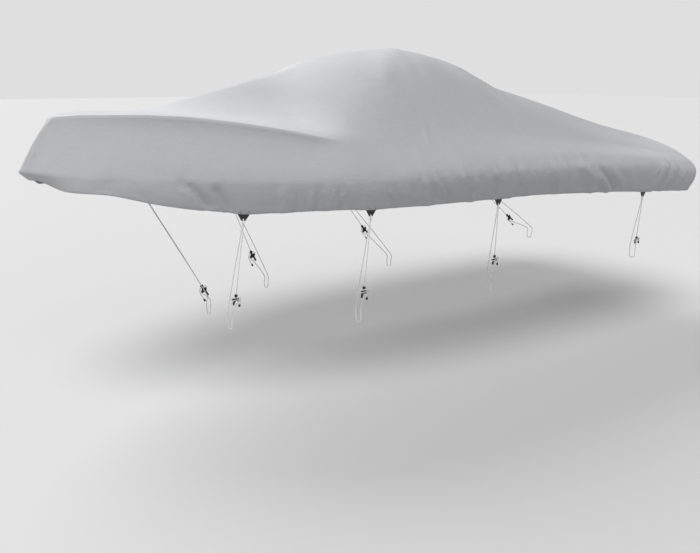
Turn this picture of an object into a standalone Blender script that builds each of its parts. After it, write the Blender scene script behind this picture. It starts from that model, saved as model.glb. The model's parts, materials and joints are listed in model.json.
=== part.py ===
"""A fitted storage cover for a half-cabin trailer boat, with its eight tie-downs.

The cloth hangs as it does on the boat: over the bow rail, up the foredeck and the
windscreen to the cabin's frame, down to the stern, and in under the gunwale to a
drawn-in hem. Each tie runs from a webbing tab on the hem, round the place of the
trailer's rail and back up to a cleat.

Axes: X runs forward to the bow, Y to port, Z up, in metres. The origin is on the
underside of the cloth at its highest point, where the cabin's frame holds it.
"""

import math
from collections import namedtuple

import bmesh
import bpy
from mathutils import Matrix, Vector

# Cloth
CLOTH = 0.002              # thickness
PEAK_HEIGHT = 2.208        # underside of the cloth's highest point, above the ground
GAP = 0.0003               # between pieces that touch

# The ends of the cover
NOSE_BULGE = 0.034         # how far the bow rounds forward of its first section
NOSE_SHOULDER = 0.45       # share of its height in which it reaches that, from the rail down
NOSE_TUCK = 0.050          # how far the hem is drawn aft under the bow
NOSE_TUCK_REACH = 0.30     # length of hem over which it is
STERN_ROUND = 0.060        # radius of the edge round the stern panel
STERN_TUCK = 0.035         # how far the stern hem is drawn in under the boat
STERN_STEPS = 4

# Rows of faces along a section, from the hem to the ridge
SKIRT_ROWS = 3
SIDE_ROWS = 4
SHOULDER_ROWS = 3
TOP_ROWS = 2
SECTION_PITCH = 0.100      # between the mesh's sections
SKIRT_SPLITS = 3           # columns of small faces on the skirt, to each of the large ones above

# Ties
TAB_WIDTH = 0.074
TAB_TIP = 0.026
TAB_DROP = 0.040           # hangs straight down below the hem
TAB_LAP = 0.022            # sewn behind the hem
TAB_BEND = 0.002           # below the hem's edge, where it bends to hang down
TAB_THICKNESS = 0.002
TAB_PLANE = 0.045          # half the length of hem that lies flat at a tab
TAB_PULL = 0.006           # how far a tie draws the hem down
TAB_PULL_REACH = 0.16      # over this much hem to each side
KNOT = (0.012, 0.0085, 0.0075)      # half sizes: along the hem, up the tie, outward
CORD_DIAMETER = 0.006
CORD_PITCH = 0.0075        # between the two runs where they leave the knot
CORD_STEP = 0.022          # longest piece of a cord's bends
CORD_STEPS = 4             # pieces at most between two points of its route
RAIL_WIDTH = 0.050
RAIL_HEIGHT = 0.090
CLEAT_THICKNESS = 0.010
HEAD_RADIUS = 0.011
HEAD_RISE = 0.033          # centre of the head above the middle of the cleat
HEAD_FROM = math.radians(-55)       # the arc of its head, from one side of its neck
HEAD_TO = math.radians(235)         # to the other
HEAD_STEPS = 9
BELL = ((0.0, 0.0), (0.0045, 0.0), (0.0070, 0.006), (0.0080, 0.014), (0.0070, 0.020),
        (0.0, 0.020))               # radius and drop, down its profile
MERGE = 0.00005            # points nearer than this are one
SHARP_ANGLE = math.radians(35)      # between the faces that meet in a crease

# A section across the boat, bow to stern: where it meets the gunwale (x), how far its top
# lies aft of that, and where the cloth passes over the ridge, the roof's edge, the rail,
# the gunwale's beam and the hem. Heights are above the ground.
Section = namedtuple(
    "Section",
    "x set_back ridge roof_y roof_z rail_y rail_z beam_y beam_z hem_y hem_z",
)
SECTIONS = (
    Section(2.67, 0.170, 1.783, 0.025, 1.784, 0.050, 1.779, 0.057, 1.463, 0.066, 1.418),
    Section(2.55, 0.170, 1.785, 0.100, 1.787, 0.190, 1.792, 0.222, 1.450, 0.238, 1.361),
    Section(2.35, 0.170, 1.787, 0.180, 1.789, 0.355, 1.794, 0.400, 1.437, 0.393, 1.346),
    Section(2.10, 0.160, 1.812, 0.250, 1.789, 0.500, 1.785, 0.555, 1.427, 0.538, 1.286),
    Section(1.80, 0.130, 1.864, 0.320, 1.790, 0.645, 1.752, 0.715, 1.412, 0.660, 1.232),
    Section(1.50, 0.100, 1.926, 0.400, 1.776, 0.765, 1.706, 0.847, 1.402, 0.780, 1.208),
    Section(1.20, 0.060, 1.992, 0.500, 1.766, 0.860, 1.652, 0.944, 1.392, 0.872, 1.206),
    Section(0.90, 0.020, 2.048, 0.620, 1.850, 0.905, 1.610, 1.016, 1.382, 0.944, 1.196),
    Section(0.62, 0.000, 2.131, 0.610, 1.960, 0.910, 1.602, 1.054, 1.379, 0.982, 1.188),
    Section(0.30, 0.000, 2.183, 0.530, 2.063, 0.895, 1.625, 1.077, 1.378, 1.004, 1.183),
    Section(0.00, 0.000, 2.210, 0.450, 2.115, 0.865, 1.650, 1.090, 1.378, 1.017, 1.180),
    Section(-0.50, 0.000, 2.166, 0.400, 2.012, 0.835, 1.625, 1.099, 1.373, 1.026, 1.173),
    Section(-0.80, 0.000, 2.094, 0.390, 1.886, 0.820, 1.592, 1.100, 1.366, 1.028, 1.163),
    Section(-1.00, 0.000, 2.017, 0.390, 1.832, 0.810, 1.570, 1.100, 1.359, 1.028, 1.152),
    Section(-1.20, 0.000, 1.935, 0.392, 1.777, 0.808, 1.550, 1.098, 1.352, 1.026, 1.141),
    Section(-1.50, 0.000, 1.862, 0.400, 1.714, 0.808, 1.517, 1.093, 1.340, 1.022, 1.124),
    Section(-1.95, 0.000, 1.755, 0.440, 1.600, 0.830, 1.462, 1.083, 1.311, 1.014, 1.091),
    Section(-2.35, 0.000, 1.650, 0.540, 1.505, 0.870, 1.402, 1.075, 1.268, 1.008, 1.064),
    Section(-2.64, 0.000, 1.568, 0.620, 1.462, 0.920, 1.355, 1.072, 1.228, 1.004, 1.044),
)
BOW_X = SECTIONS[0].x
STERN_X = SECTIONS[-1].x

# Places up a section, which the fourth and later columns of SECTIONS give
HEM, BEAM, RAIL, ROOF, RIDGE = range(5)

# A fold in the cloth: a soft ridge, or a trough where its height is below nought. It runs
# from a low point to a high one: x along the boat, v up the section from HEM to RIDGE.
Fold = namedtuple("Fold", "side x_low v_low x_high v_high width height")
PORT = 1
STARBOARD = -1
SIDES = {"port": PORT, "starboard": STARBOARD}
FOLDS = (
    # the hollow ahead of the windscreen, and its corner
    Fold(PORT, 1.16, 2.10, 0.86, 2.95, 0.240, -0.005),
    Fold(PORT, 0.20, 2.95, 0.04, 3.60, 0.120, 0.004),
    Fold(STARBOARD, 1.12, 2.15, 0.84, 2.90, 0.260, -0.005),
    Fold(STARBOARD, 0.24, 2.90, 0.08, 3.50, 0.140, 0.004),
    # the skirt's gathers, port side
    Fold(PORT, 1.84, 0.15, 1.96, 0.95, 0.075, -0.012),
    Fold(PORT, 1.745, 0.10, 1.80, 0.70, 0.060, -0.010),
    Fold(PORT, 1.40, 0.10, 1.43, 0.60, 0.085, 0.007),
    Fold(PORT, 1.14, 0.10, 1.18, 0.65, 0.085, 0.006),
    Fold(PORT, 0.40, 0.10, 0.46, 0.70, 0.090, 0.007),
    Fold(PORT, 0.02, 0.10, 0.14, 1.00, 0.070, 0.011),
    Fold(PORT, -0.35, 0.15, -0.27, 0.95, 0.070, 0.010),
    Fold(PORT, -0.52, 0.20, -0.43, 0.95, 0.065, 0.008),
    Fold(PORT, -0.84, 0.20, -0.75, 0.95, 0.075, 0.008),
    Fold(PORT, -1.26, 0.15, -1.08, 1.05, 0.075, 0.014),
    Fold(PORT, -1.46, 0.15, -1.24, 1.00, 0.075, 0.012),
    Fold(PORT, -2.07, 0.15, -2.16, 1.05, 0.070, 0.011),
    Fold(PORT, -2.22, 0.15, -2.32, 1.00, 0.065, 0.009),
    Fold(PORT, -2.17, 1.05, -2.14, 1.60, 0.070, 0.009),
    Fold(PORT, -2.52, 0.15, -2.46, 0.95, 0.070, 0.009),
    # the skirt's gathers, starboard side
    Fold(STARBOARD, 1.90, 0.15, 1.98, 0.90, 0.080, -0.011),
    Fold(STARBOARD, 1.47, 0.10, 1.44, 0.70, 0.080, 0.008),
    Fold(STARBOARD, 1.12, 0.10, 1.19, 0.80, 0.085, 0.007),
    Fold(STARBOARD, 0.52, 0.10, 0.47, 0.75, 0.085, 0.008),
    Fold(STARBOARD, 0.18, 0.15, 0.25, 0.95, 0.070, 0.010),
    Fold(STARBOARD, -0.46, 0.15, -0.38, 1.00, 0.075, 0.011),
    Fold(STARBOARD, -0.78, 0.20, -0.66, 0.95, 0.070, 0.009),
    Fold(STARBOARD, -1.12, 0.15, -0.98, 1.05, 0.075, 0.013),
    Fold(STARBOARD, -1.50, 0.15, -1.60, 0.95, 0.075, 0.010),
    Fold(STARBOARD, -2.12, 0.15, -2.24, 1.05, 0.070, 0.012),
    Fold(STARBOARD, -2.46, 0.15, -2.40, 1.00, 0.070, 0.009),
)

# A tie: where its tab is along the hem, the middle of its cleat's head, and the bottom edge
# of the trailer rail's outer face, with y to port whichever side it is on. The two sides are
# alike but for the foremost tie. Heights are above the ground.
Tie = namedtuple("Tie", "tab_x head rail")
TIES = (
    Tie(1.630, (1.520, 0.405, 0.620), (1.470, 0.245, 0.345)),
    Tie(0.835, (0.731, 0.750, 0.624), (0.675, 0.640, 0.350)),
    Tie(-0.256, (-0.462, 0.811, 0.700), (-0.615, 0.640, 0.357)),
    Tie(-1.992, (-2.312, 0.767, 0.628), (-2.490, 0.640, 0.405)),
)
STARBOARD_BOW_TIE = Tie(1.630, (1.385, 0.350, 0.515), (1.400, 0.250, 0.340))
SIDE_TIES = {PORT: TIES, STARBOARD: (STARBOARD_BOW_TIE, *TIES[1:])}

# How the long tie crosses its cleat and hangs free: along from the cleat's middle, up from
# it, and out
CLEAT_TURNS = (
    (0.002, -0.062, 0.001),
    (0.008, -0.040, 0.005),
    (0.016, -0.024, 0.0096),
    (0.024, -0.010, 0.0100),
    (0.014, 0.002, 0.0100),
    (-0.004, 0.003, 0.0100),
    (-0.023, 0.007, 0.0100),
    (-0.0335, 0.012, 0.0060),
    (-0.034, 0.020, 0.0030),
    (-0.024, 0.026, 0.0060),
    (-0.010, 0.025, 0.0100),
    (0.008, 0.022, 0.0100),
    (0.024, 0.015, 0.0080),
    (0.034, 0.001, 0.0050),
    (0.038, -0.020, 0.0020),
    (0.037, -0.042, 0.0000),
    (0.035, -0.060, 0.0000),
)
# The cleat's outline below its head, round a slanted bar with a tongue under it
CLEAT_BAR = (
    (0.006, 0.024),
    (0.008, 0.012),
    (0.024, -0.001),
    (0.026, -0.010),
    (0.020, -0.018),
    (0.002, -0.014),
    (-0.003, -0.020),
    (-0.008, -0.048),
    (-0.014, -0.050),
    (-0.018, -0.044),
    (-0.014, -0.010),
    (-0.025, -0.001),
    (-0.026, 0.008),
    (-0.020, 0.015),
    (-0.006, 0.014),
    (-0.006, 0.024),
)


# ---------------------------------------------------------------- scene and materials

def clear_scene():
    """Remove whatever the file holds."""
    for item in list(bpy.data.objects):
        bpy.data.objects.remove(item, do_unlink=True)


def make_material(name, color, roughness, metallic=0.0):
    """A Principled material with one plain finish."""
    material = bpy.data.materials.new(name)
    material.use_nodes = True
    shader = material.node_tree.nodes["Principled BSDF"]
    shader.inputs["Base Color"].default_value = (*color, 1.0)
    shader.inputs["Roughness"].default_value = roughness
    shader.inputs["Metallic"].default_value = metallic
    return material


def add_object(name, data, material, collection):
    """Put a mesh or a curve in the model under a node's name."""
    item = bpy.data.objects.new(name, data)
    item.data.materials.append(material)
    collection.objects.link(item)
    return item


# ---------------------------------------------------------------- curves

def hermite(p0, p1, m0, m1, t):
    """A cubic from p0 to p1 with the slopes m0 and m1; numbers or vectors."""
    s = 1.0 - t
    return (p0 * (s * s * (1 + 2 * t)) + m0 * (t * s * s)
            + p1 * (t * t * (3 - 2 * t)) - m1 * (t * t * s))


def smooth_step(t):
    """0 below 0, 1 above 1, and smooth between."""
    t = max(0.0, min(1.0, t))
    return t * t * (3 - 2 * t)


def column_slopes(xs, values):
    """Slopes for a cubic through a column of the table that never overshoots it."""
    chords = [(b - a) / (xb - xa) for a, b, xa, xb in zip(values, values[1:], xs, xs[1:])]
    slopes = [chords[0]]
    for before, after in zip(chords, chords[1:]):
        level = before * after <= 0
        slopes.append(0.0 if level else 2 * before * after / (before + after))
    return slopes + [chords[-1]]


STATION_XS = [row.x for row in SECTIONS]
COLUMN_SLOPES = [column_slopes(STATION_XS, column) for column in zip(*SECTIONS)]


def section_at(x):
    """The cover's section where it meets the gunwale at x."""
    x = max(STERN_X, min(BOW_X, x))
    row = next(i for i in range(len(SECTIONS) - 1) if x >= SECTIONS[i + 1].x)
    span = SECTIONS[row + 1].x - SECTIONS[row].x
    t = (x - SECTIONS[row].x) / span
    return Section(*(
        hermite(a, b, slopes[row] * span, slopes[row + 1] * span, t)
        for a, b, slopes in zip(SECTIONS[row], SECTIONS[row + 1], COLUMN_SLOPES)
    ))


def catmull_rom(points):
    """Points on the smooth curve through the given ones."""
    ends = [2 * points[0] - points[1]] + list(points) + [2 * points[-1] - points[-2]]
    curve = []
    for before, a, b, after in zip(ends, ends[1:], ends[2:], ends[3:]):
        span = (b - a).length
        slope_a = (b - before).normalized() * span
        slope_b = (after - a).normalized() * span
        count = max(1, min(CORD_STEPS, round(span / CORD_STEP)))
        curve += [hermite(a, b, slope_a, slope_b, i / count) for i in range(count)]
    return curve + [points[-1]]


# ---------------------------------------------------------------- the cloth's form

RAIL_CRISP = (0.90, 1.30)   # x from where the rail's fold starts to show, to where it is sharp
RAIL_HANG = 0.60            # how far the cloth turns in, under a sharp rail
BEAM_CRISP = 0.15
BEAM_SOFT = (1.75, 2.15)    # x from where the beam's fold starts to fade, to where it is gone
RIDGE_CRISP = 0.75         # away from the cabin's top, where its frame rounds it
CABIN_TOP = (0.15, 0.35, 0.50)      # its middle, its half length, and its fade beyond that
SKIRT_RISE = 0.17          # height of cloth that a unit of v stands for on the skirt
TOP_RISE = 0.40            # and on the top


def across(section, v):
    """y and height at place v of a section's port half, from HEM 0 to RIDGE 4."""
    knots = [
        Vector((section.hem_y, section.hem_z)),
        Vector((section.beam_y, section.beam_z)),
        Vector((section.rail_y, section.rail_z)),
        Vector((section.roof_y, section.roof_z)),
        Vector((0.0, section.ridge)),
    ]
    chords = [b - a for a, b in zip(knots, knots[1:])]
    low, high = RAIL_CRISP
    rail_crisp = smooth_step((section.x - low) / (high - low))
    soft, gone = BEAM_SOFT
    beam_crisp = BEAM_CRISP * (1 - smooth_step((section.x - soft) / (gone - soft)))
    crisp = {BEAM: beam_crisp, RAIL: rail_crisp, ROOF: 0.0}
    middle, reach, fade = CABIN_TOP
    tent = RIDGE_CRISP * smooth_step((abs(section.x - middle) - reach) / fade)
    span = min(int(v), 3)

    def slope(knot, chord):
        """Direction of the curve at a knot, as the given chord reaches or leaves it."""
        own = chord.normalized()
        if knot == HEM:
            return Vector((own.x + 0.25, own.y)).normalized()
        if knot == RIDGE:
            return Vector((-1.0, 0.0)).lerp(own, tent).normalized()
        shared = (chords[knot - 1].normalized() + chords[knot].normalized()).normalized()
        if knot == RAIL and chord is chords[BEAM]:
            own = Vector((own.x + RAIL_HANG, own.y)).normalized()
        return shared.lerp(own, crisp[knot]).normalized()

    chord = chords[span]
    reach = chord.length
    point = hermite(knots[span], knots[span + 1], slope(span, chord) * reach,
                    slope(span + 1, chord) * reach, v - span)
    return point.x, point.y


def base_point(x, v, turn=0.0):
    """A point of the cover's port half with no folds; turn rounds it over the stern."""
    section = section_at(x)
    y, height = across(section, v)
    top = max(0.0, min(1.0, v - BEAM))
    inset = STERN_ROUND * (1 - math.cos(turn))
    along = x - section.set_back * top - STERN_ROUND * math.sin(turn)
    along -= NOSE_TUCK * max(0.0, BEAM - v) * smooth_step(1 - (BOW_X - x) / NOSE_TUCK_REACH)
    y *= 1 - inset / section.beam_y
    height -= inset * smooth_step((v - BEAM) / (ROOF - BEAM))
    from_tab = min(abs(x - tie.tab_x) for tie in TIES)
    height -= TAB_PULL * smooth_step(1 - from_tab / TAB_PULL_REACH) * max(0.0, BEAM - v)
    return Vector((along, y, height - PEAK_HEIGHT))


def fold_height(side, x, v):
    """How far the folds lift the cloth at a place, along its normal."""
    total = 0.0
    for fold in FOLDS:
        if fold.side != side:
            continue
        rise = SKIRT_RISE if fold.v_high < RAIL else TOP_RISE
        start = Vector((fold.x_low, fold.v_low * rise))
        line = Vector((fold.x_high, fold.v_high * rise)) - start
        here = Vector((x, v * rise)) - start
        along = max(0.0, min(1.0, here.dot(line) / line.length_squared))
        away = (here - line * along).length / fold.width
        total += fold.height * math.exp(-4 * away * away)
    flat = min(abs(x - tie.tab_x) for tie in TIES)
    held = smooth_step((flat - TAB_PLANE) / TAB_PLANE) if v < BEAM else 1.0
    return total * held


def skin_point(side, x, v, turn=0.0):
    """A point of the cover's outer face, with its folds."""
    point = base_point(x, v, turn)
    step = 0.02
    along = base_point(x + step, v, turn) - base_point(x - step, v, turn)
    up = base_point(x, min(v + step, RIDGE), turn) - base_point(x, max(v - step, 0), turn)
    normal = up.cross(along).normalized()
    point += normal * fold_height(side, x, v)
    point.y *= side
    return point


# ---------------------------------------------------------------- the cloth's mesh

def section_places():
    """Places v up half a section at which the mesh has a row of points."""
    rows = (SKIRT_ROWS, SIDE_ROWS, SHOULDER_ROWS, TOP_ROWS)
    return [span + i / count for span, count in enumerate(rows) for i in range(count)] + [RIDGE]


def even(start, end, count):
    """`count` values from start, evenly spaced, up to but without end."""
    return [start + (end - start) * i / count for i in range(count)]


def mesh_stations():
    """Where along the boat the mesh has sections, and how the skirt is split up to the next.

    The hem lies flat at each tab, between a pair of sections with nothing between them.
    """
    stations = []
    start = BOW_X
    for end in [tie.tab_x + TAB_PLANE for tie in TIES] + [STERN_X]:
        xs = even(start, end, round((start - end) / SECTION_PITCH))
        stations += [(x, SKIRT_SPLITS) for x in xs]
        stations.append((end, 1))
        start = end - 2 * TAB_PLANE
    return stations


def grid_faces(mesh, rows):
    """Join rows of points, each as long as the next, with faces."""
    for row, after in zip(rows, rows[1:]):
        for corners in zip(row, row[1:], after[1:], after):
            mesh.faces.new(corners)


def section_faces(mesh, row, after, columns):
    """Join two sections, with more columns of points between them on the skirts.

    Each of the columns is a pair, port and starboard. The first faces above them take in
    their top points, so that no edge is left open.
    """
    port = [column[0] for column in columns]
    starboard = [column[1] for column in columns]
    fine = SKIRT_ROWS + 1
    last = len(row) - 1
    grid_faces(mesh, [row[:fine + 1], *port, after[:fine + 1]])
    grid_faces(mesh, [row[last - fine:], *starboard, after[last - fine:]])
    for i in range(fine, last - fine):
        below = [column[-1] for column in reversed(port)] if i == fine else []
        above = [column[0] for column in starboard] if i == last - fine - 1 else []
        mesh.faces.new((row[i], row[i + 1], *above, after[i + 1], after[i], *below))


def make_cover(material, collection):
    """The cloth: a loft along the boat, closed by a nose panel and a stern panel."""
    mesh = bmesh.new()
    places = section_places()
    skirt = places[:SKIRT_ROWS + 2]

    def points(side, x, heights, turn=0.0):
        """New points of the outer face at the given places up a section."""
        return [mesh.verts.new(skin_point(side, x, v, turn)) for v in heights]

    def whole(x, turn=0.0):
        """New points all the way across, from the port hem to the starboard hem."""
        return points(PORT, x, places, turn) + points(STARBOARD, x, places[-2::-1], turn)

    stations = mesh_stations()
    rows = [whole(x) for x, splits in stations]
    for i, (x, splits) in enumerate(stations[:-1]):
        between = even(x, stations[i + 1][0], splits)[1:]
        columns = [(points(PORT, x, skirt), points(STARBOARD, x, skirt[::-1])) for x in between]
        section_faces(mesh, rows[i], rows[i + 1], columns)
    turns = [math.pi / 2 * i / STERN_STEPS for i in range(1, STERN_STEPS + 1)]
    rounding = [rows[-1]] + [whole(STERN_X, turn) for turn in turns]
    grid_faces(mesh, rounding)

    # The nose closes the first section below the rail, from the port side to the other
    first = rows[0]
    last = len(first) - 1
    rail = places.index(RAIL)
    levels = [[first[i], *nose_row(mesh, first, i, rail), first[last - i]] for i in range(rail)]
    levels.append(first[rail:last - rail + 1])
    grid_faces(mesh, levels)

    # The stern panel hangs from the last section, between its two beams
    stern = rounding[-1]
    beam = places.index(BEAM)
    port, starboard = stern[:beam + 1][::-1], stern[last - beam:]
    panel = [stern[beam:last - beam + 1]]
    for level in range(1, SKIRT_ROWS + 1):
        drop = level / SKIRT_ROWS
        inner = [stern_point(mesh, top, port[level], drop) for top in panel[0][1:-1]]
        panel.append([port[level], *inner, starboard[level]])
    grid_faces(mesh, panel)

    bmesh.ops.recalc_face_normals(mesh, faces=mesh.faces)
    peak = max(mesh.faces, key=lambda face: face.calc_center_median().z)
    if peak.normal.z < 0:
        bmesh.ops.reverse_faces(mesh, faces=mesh.faces)
    data = bpy.data.meshes.new("cover_cloth")
    mesh.to_mesh(data)
    mesh.free()
    data.shade_smooth()
    data.set_sharp_from_angle(angle=SHARP_ANGLE)
    cover = add_object("cover_cloth", data, material, collection)
    wall = cover.modifiers.new("Wall", "SOLIDIFY")
    wall.thickness = CLOTH
    wall.offset = -1
    wall.use_even_offset = True


def nose_row(mesh, first, i, rail):
    """New points across the nose at one level, rounded forward."""
    port = first[i].co
    count = 2 * (len(first) // 2 - rail)
    drop = min(1.0, (1 - i / rail) / NOSE_SHOULDER)
    bulge = NOSE_BULGE * math.sin(drop * math.pi / 2)
    row = []
    for j in range(1, count):
        s = 1 - 2 * j / count
        row.append(mesh.verts.new((port.x + bulge * (1 - s * s), port.y * s, port.z)))
    return row


def stern_point(mesh, top, port, drop):
    """A new point of the stern panel, part of the way from its top edge to its hem."""
    hem_z = port.co.z
    tuck = STERN_TUCK * drop * drop
    z = top.co.z + (hem_z - top.co.z) * drop
    return mesh.verts.new((top.co.x + tuck, top.co.y * (1 - 0.03 * drop), z))


# ---------------------------------------------------------------- ties

def placed(point, side):
    """A port place given by its height above the ground, on a side, in the part's own frame."""
    return Vector((point[0], side * point[1], point[2] - PEAK_HEIGHT))


def hem_frame(tie, side):
    """The flat stretch of hem at a tab: its middle, and the ways along it, up and out.

    The three ways are right-handed, so along is to the right as seen from beside the boat.
    """
    xs = [tie.tab_x + side * way * TAB_PLANE for way in (1, -1)]
    low = [skin_point(side, x, HEM) for x in xs]
    high = [skin_point(side, x, 1 / SKIRT_ROWS) for x in xs]
    along = (low[1] - low[0]).normalized()
    rise = high[0] + high[1] - low[0] - low[1]
    out = along.cross(rise).normalized()
    return (low[0] + low[1]) / 2, (along, out.cross(along), out)


def tie_frame(knot, tie, side):
    """The ways along, up and out of a tie, from the run between its knot and the rail."""
    up = (knot - placed(tie.rail, side)).normalized()
    along = Vector((-side, 0, 0))
    along = (along - up * along.dot(up)).normalized()
    return along, up, along.cross(up)


def placing(origin, frame):
    """A matrix that moves a shape drawn along, up and out to its place."""
    return Matrix.Translation(origin) @ Matrix(frame).transposed().to_4x4()


def outline_plate(name, points, thickness, matrix, material, collection):
    """A flat piece of even thickness with the given outline."""
    data = bpy.data.curves.new(name, "CURVE")
    data.dimensions = "2D"
    data.fill_mode = "BOTH"
    data.extrude = thickness / 2
    spline = data.splines.new("POLY")
    spline.points.add(len(points) - 1)
    for slot, point in zip(spline.points, points):
        slot.co = (*point, 0.0, 1.0)
    spline.use_cyclic_u = True
    plate = add_object(name, data, material, collection)
    plate.matrix_world = matrix


def make_tab(name, tie, side, material, collection):
    """A webbing tab: a strip sewn behind the hem, bent there, and tapered down to its tip.

    Returns the middle of its tip, and the ways along, up and out of the part that hangs.
    """
    middle, (along, up, out) = hem_frame(tie, side)
    bend = middle - out * (CLOTH + GAP) - up * TAB_BEND
    facing = along.cross(Vector((0, 0, 1))).normalized()
    hanging = facing.cross(along)
    tip = bend - hanging * TAB_DROP
    levels = ((tip, TAB_TIP), (bend, TAB_WIDTH), (bend + up * (TAB_BEND + TAB_LAP), TAB_WIDTH))
    mesh = bmesh.new()
    rows = [[mesh.verts.new(centre + along * width * way / 2) for way in (-1, 1)]
            for centre, width in levels]
    grid_faces(mesh, rows)
    data = bpy.data.meshes.new(name)
    mesh.to_mesh(data)
    mesh.free()
    tab = add_object(name, data, material, collection)
    wall = tab.modifiers.new("Webbing", "SOLIDIFY")
    wall.thickness = TAB_THICKNESS
    wall.offset = -1
    wall.use_even_offset = True
    return tip - facing * TAB_THICKNESS / 2, (along, hanging, facing)


def make_knot(name, centre, frame, material, collection):
    """The hitch at the tab's tip, as one rounded lump."""
    mesh = bmesh.new()
    bmesh.ops.create_uvsphere(mesh, u_segments=10, v_segments=7, radius=1.0)
    bmesh.ops.scale(mesh, vec=KNOT, verts=mesh.verts)
    data = bpy.data.meshes.new(name)
    mesh.to_mesh(data)
    mesh.free()
    data.shade_smooth()
    knot = add_object(name, data, material, collection)
    knot.matrix_world = placing(centre, frame)


def make_cord(name, points, material, collection):
    """A round cord along the smooth curve through some points. Returns the curve's points."""
    curve = catmull_rom(points)
    data = bpy.data.curves.new(name, "CURVE")
    data.dimensions = "3D"
    data.bevel_depth = CORD_DIAMETER / 2
    data.bevel_resolution = 2
    data.use_fill_caps = True
    spline = data.splines.new("POLY")
    spline.points.add(len(curve) - 1)
    for slot, point in zip(spline.points, curve):
        slot.co = (*point, 1.0)
    add_object(name, data, material, collection)
    return curve


def cleat_outline():
    """The cleat's edge: the arc of its head, then its bar and tongue."""
    arc = [HEAD_FROM + (HEAD_TO - HEAD_FROM) * i / HEAD_STEPS for i in range(HEAD_STEPS + 1)]
    head = [(HEAD_RADIUS * math.cos(a), HEAD_RISE + HEAD_RADIUS * math.sin(a)) for a in arc]
    return head + list(reversed(CLEAT_BAR))


def make_bell(name, top, down, material, collection):
    """A bell-shaped end that hides the cut of the cord."""
    mesh = bmesh.new()
    chain = [mesh.verts.new((radius, 0.0, -drop)) for radius, drop in BELL]
    edges = [mesh.edges.new(pair) for pair in zip(chain, chain[1:])]
    bmesh.ops.spin(mesh, geom=chain + edges, cent=(0, 0, 0), axis=(0, 0, 1),
                   angle=2 * math.pi, steps=8, use_merge=True)
    bmesh.ops.remove_doubles(mesh, verts=mesh.verts, dist=MERGE)
    bmesh.ops.recalc_face_normals(mesh, faces=mesh.faces)
    data = bpy.data.meshes.new(name)
    mesh.to_mesh(data)
    mesh.free()
    data.shade_smooth()
    bell = add_object(name, data, material, collection)
    turn = (-down).to_track_quat("Z", "Y").to_matrix().to_4x4()
    bell.matrix_world = Matrix.Translation(top) @ turn


def rail_turn(tie, side):
    """The long tie's way round the trailer's rail: down inside it, under it, up outside."""
    x, y, height = tie.rail
    away = CORD_DIAMETER / 2
    inner = y - RAIL_WIDTH - away
    outer = y + away
    return [placed(point, side) for point in (
        (x, inner, height + RAIL_HEIGHT * 1.15),
        (x, inner, height + RAIL_HEIGHT * 0.45),
        (x, inner + away * 2, height + away),
        (x, y - RAIL_WIDTH / 2, height - away),
        (x, outer - away * 2, height + away),
        (x, outer, height + RAIL_HEIGHT * 0.45),
        (x, outer, height + RAIL_HEIGHT),
    )]


def make_tie(tag, tie, side, materials, collection):
    """One tie: tab, knot, short run, long run, cleat and cord end."""
    tab_tip, tab_frame = make_tab(f"tab_{tag}", tie, side, materials["webbing"], collection)
    knot = tab_tip - tab_frame[1] * (KNOT[1] + GAP)
    make_knot(f"knot_{tag}", knot, tab_frame, materials["cord"], collection)

    along, up, out = frame = tie_frame(knot, tie, side)
    reach = Vector([half * up.dot(way) for half, way in zip(KNOT, tab_frame)]).length
    foot = knot - up * (reach + GAP)

    cleat = placed(tie.head, side) - up * HEAD_RISE
    outline_plate(f"cleat_{tag}", cleat_outline(), CLEAT_THICKNESS, placing(cleat, frame),
                  materials["plastic"], collection)

    head_top = cleat + up * (HEAD_RISE + HEAD_RADIUS + GAP)
    short_run = [foot + along * CORD_PITCH / 2, head_top]
    make_cord(f"short_tie_{tag}", short_run, materials["cord"], collection)

    long_run = [foot - along * CORD_PITCH / 2] + rail_turn(tie, side)
    long_run += [cleat + along * a + up * u + out * o for a, u, o in CLEAT_TURNS]
    curve = make_cord(f"long_tie_{tag}", long_run, materials["cord"], collection)

    down = (curve[-1] - curve[-2]).normalized()
    make_bell(f"cord_end_{tag}", curve[-1] + down * GAP, down, materials["plastic"], collection)


def main():
    """Build the cover and its eight ties."""
    clear_scene()
    collection = bpy.data.collections.new("boat_cover")
    bpy.context.scene.collection.children.link(collection)
    cloth = make_material("cover_cloth", (0.40, 0.41, 0.43), 0.85)
    materials = {
        "webbing": make_material("black_webbing", (0.02, 0.02, 0.022), 0.8),
        "cord": make_material("white_cord", (0.80, 0.80, 0.79), 0.7),
        "plastic": make_material("black_plastic", (0.015, 0.015, 0.016), 0.45),
    }
    make_cover(cloth, collection)
    for side_name, side in SIDES.items():
        for number, tie in enumerate(SIDE_TIES[side], start=1):
            make_tie(f"{side_name}_{number}", tie, side, materials, collection)


main()
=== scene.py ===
"""The looks of a fitted storage cover for a half-cabin trailer boat, with its eight tie-downs.

The cloth is one thin sheet on the form in which it hangs: over the bow rail, up the foredeck
and the windscreen to the cabin's frame, down to the stern, and in under the gunwale to a
drawn-in hem. Each tie runs from a webbing tab on the hem, round the place of the trailer's
rail and back up to a cleat.

Axes: X runs forward to the bow, Y to port, Z up, in metres. The origin is on the underside of
the cloth at its highest point.
"""

import json
import logging
import math
from collections.abc import Callable, Iterable, Sequence
from dataclasses import dataclass, field
from enum import Enum
from functools import cache
from typing import NamedTuple, Union

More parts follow.
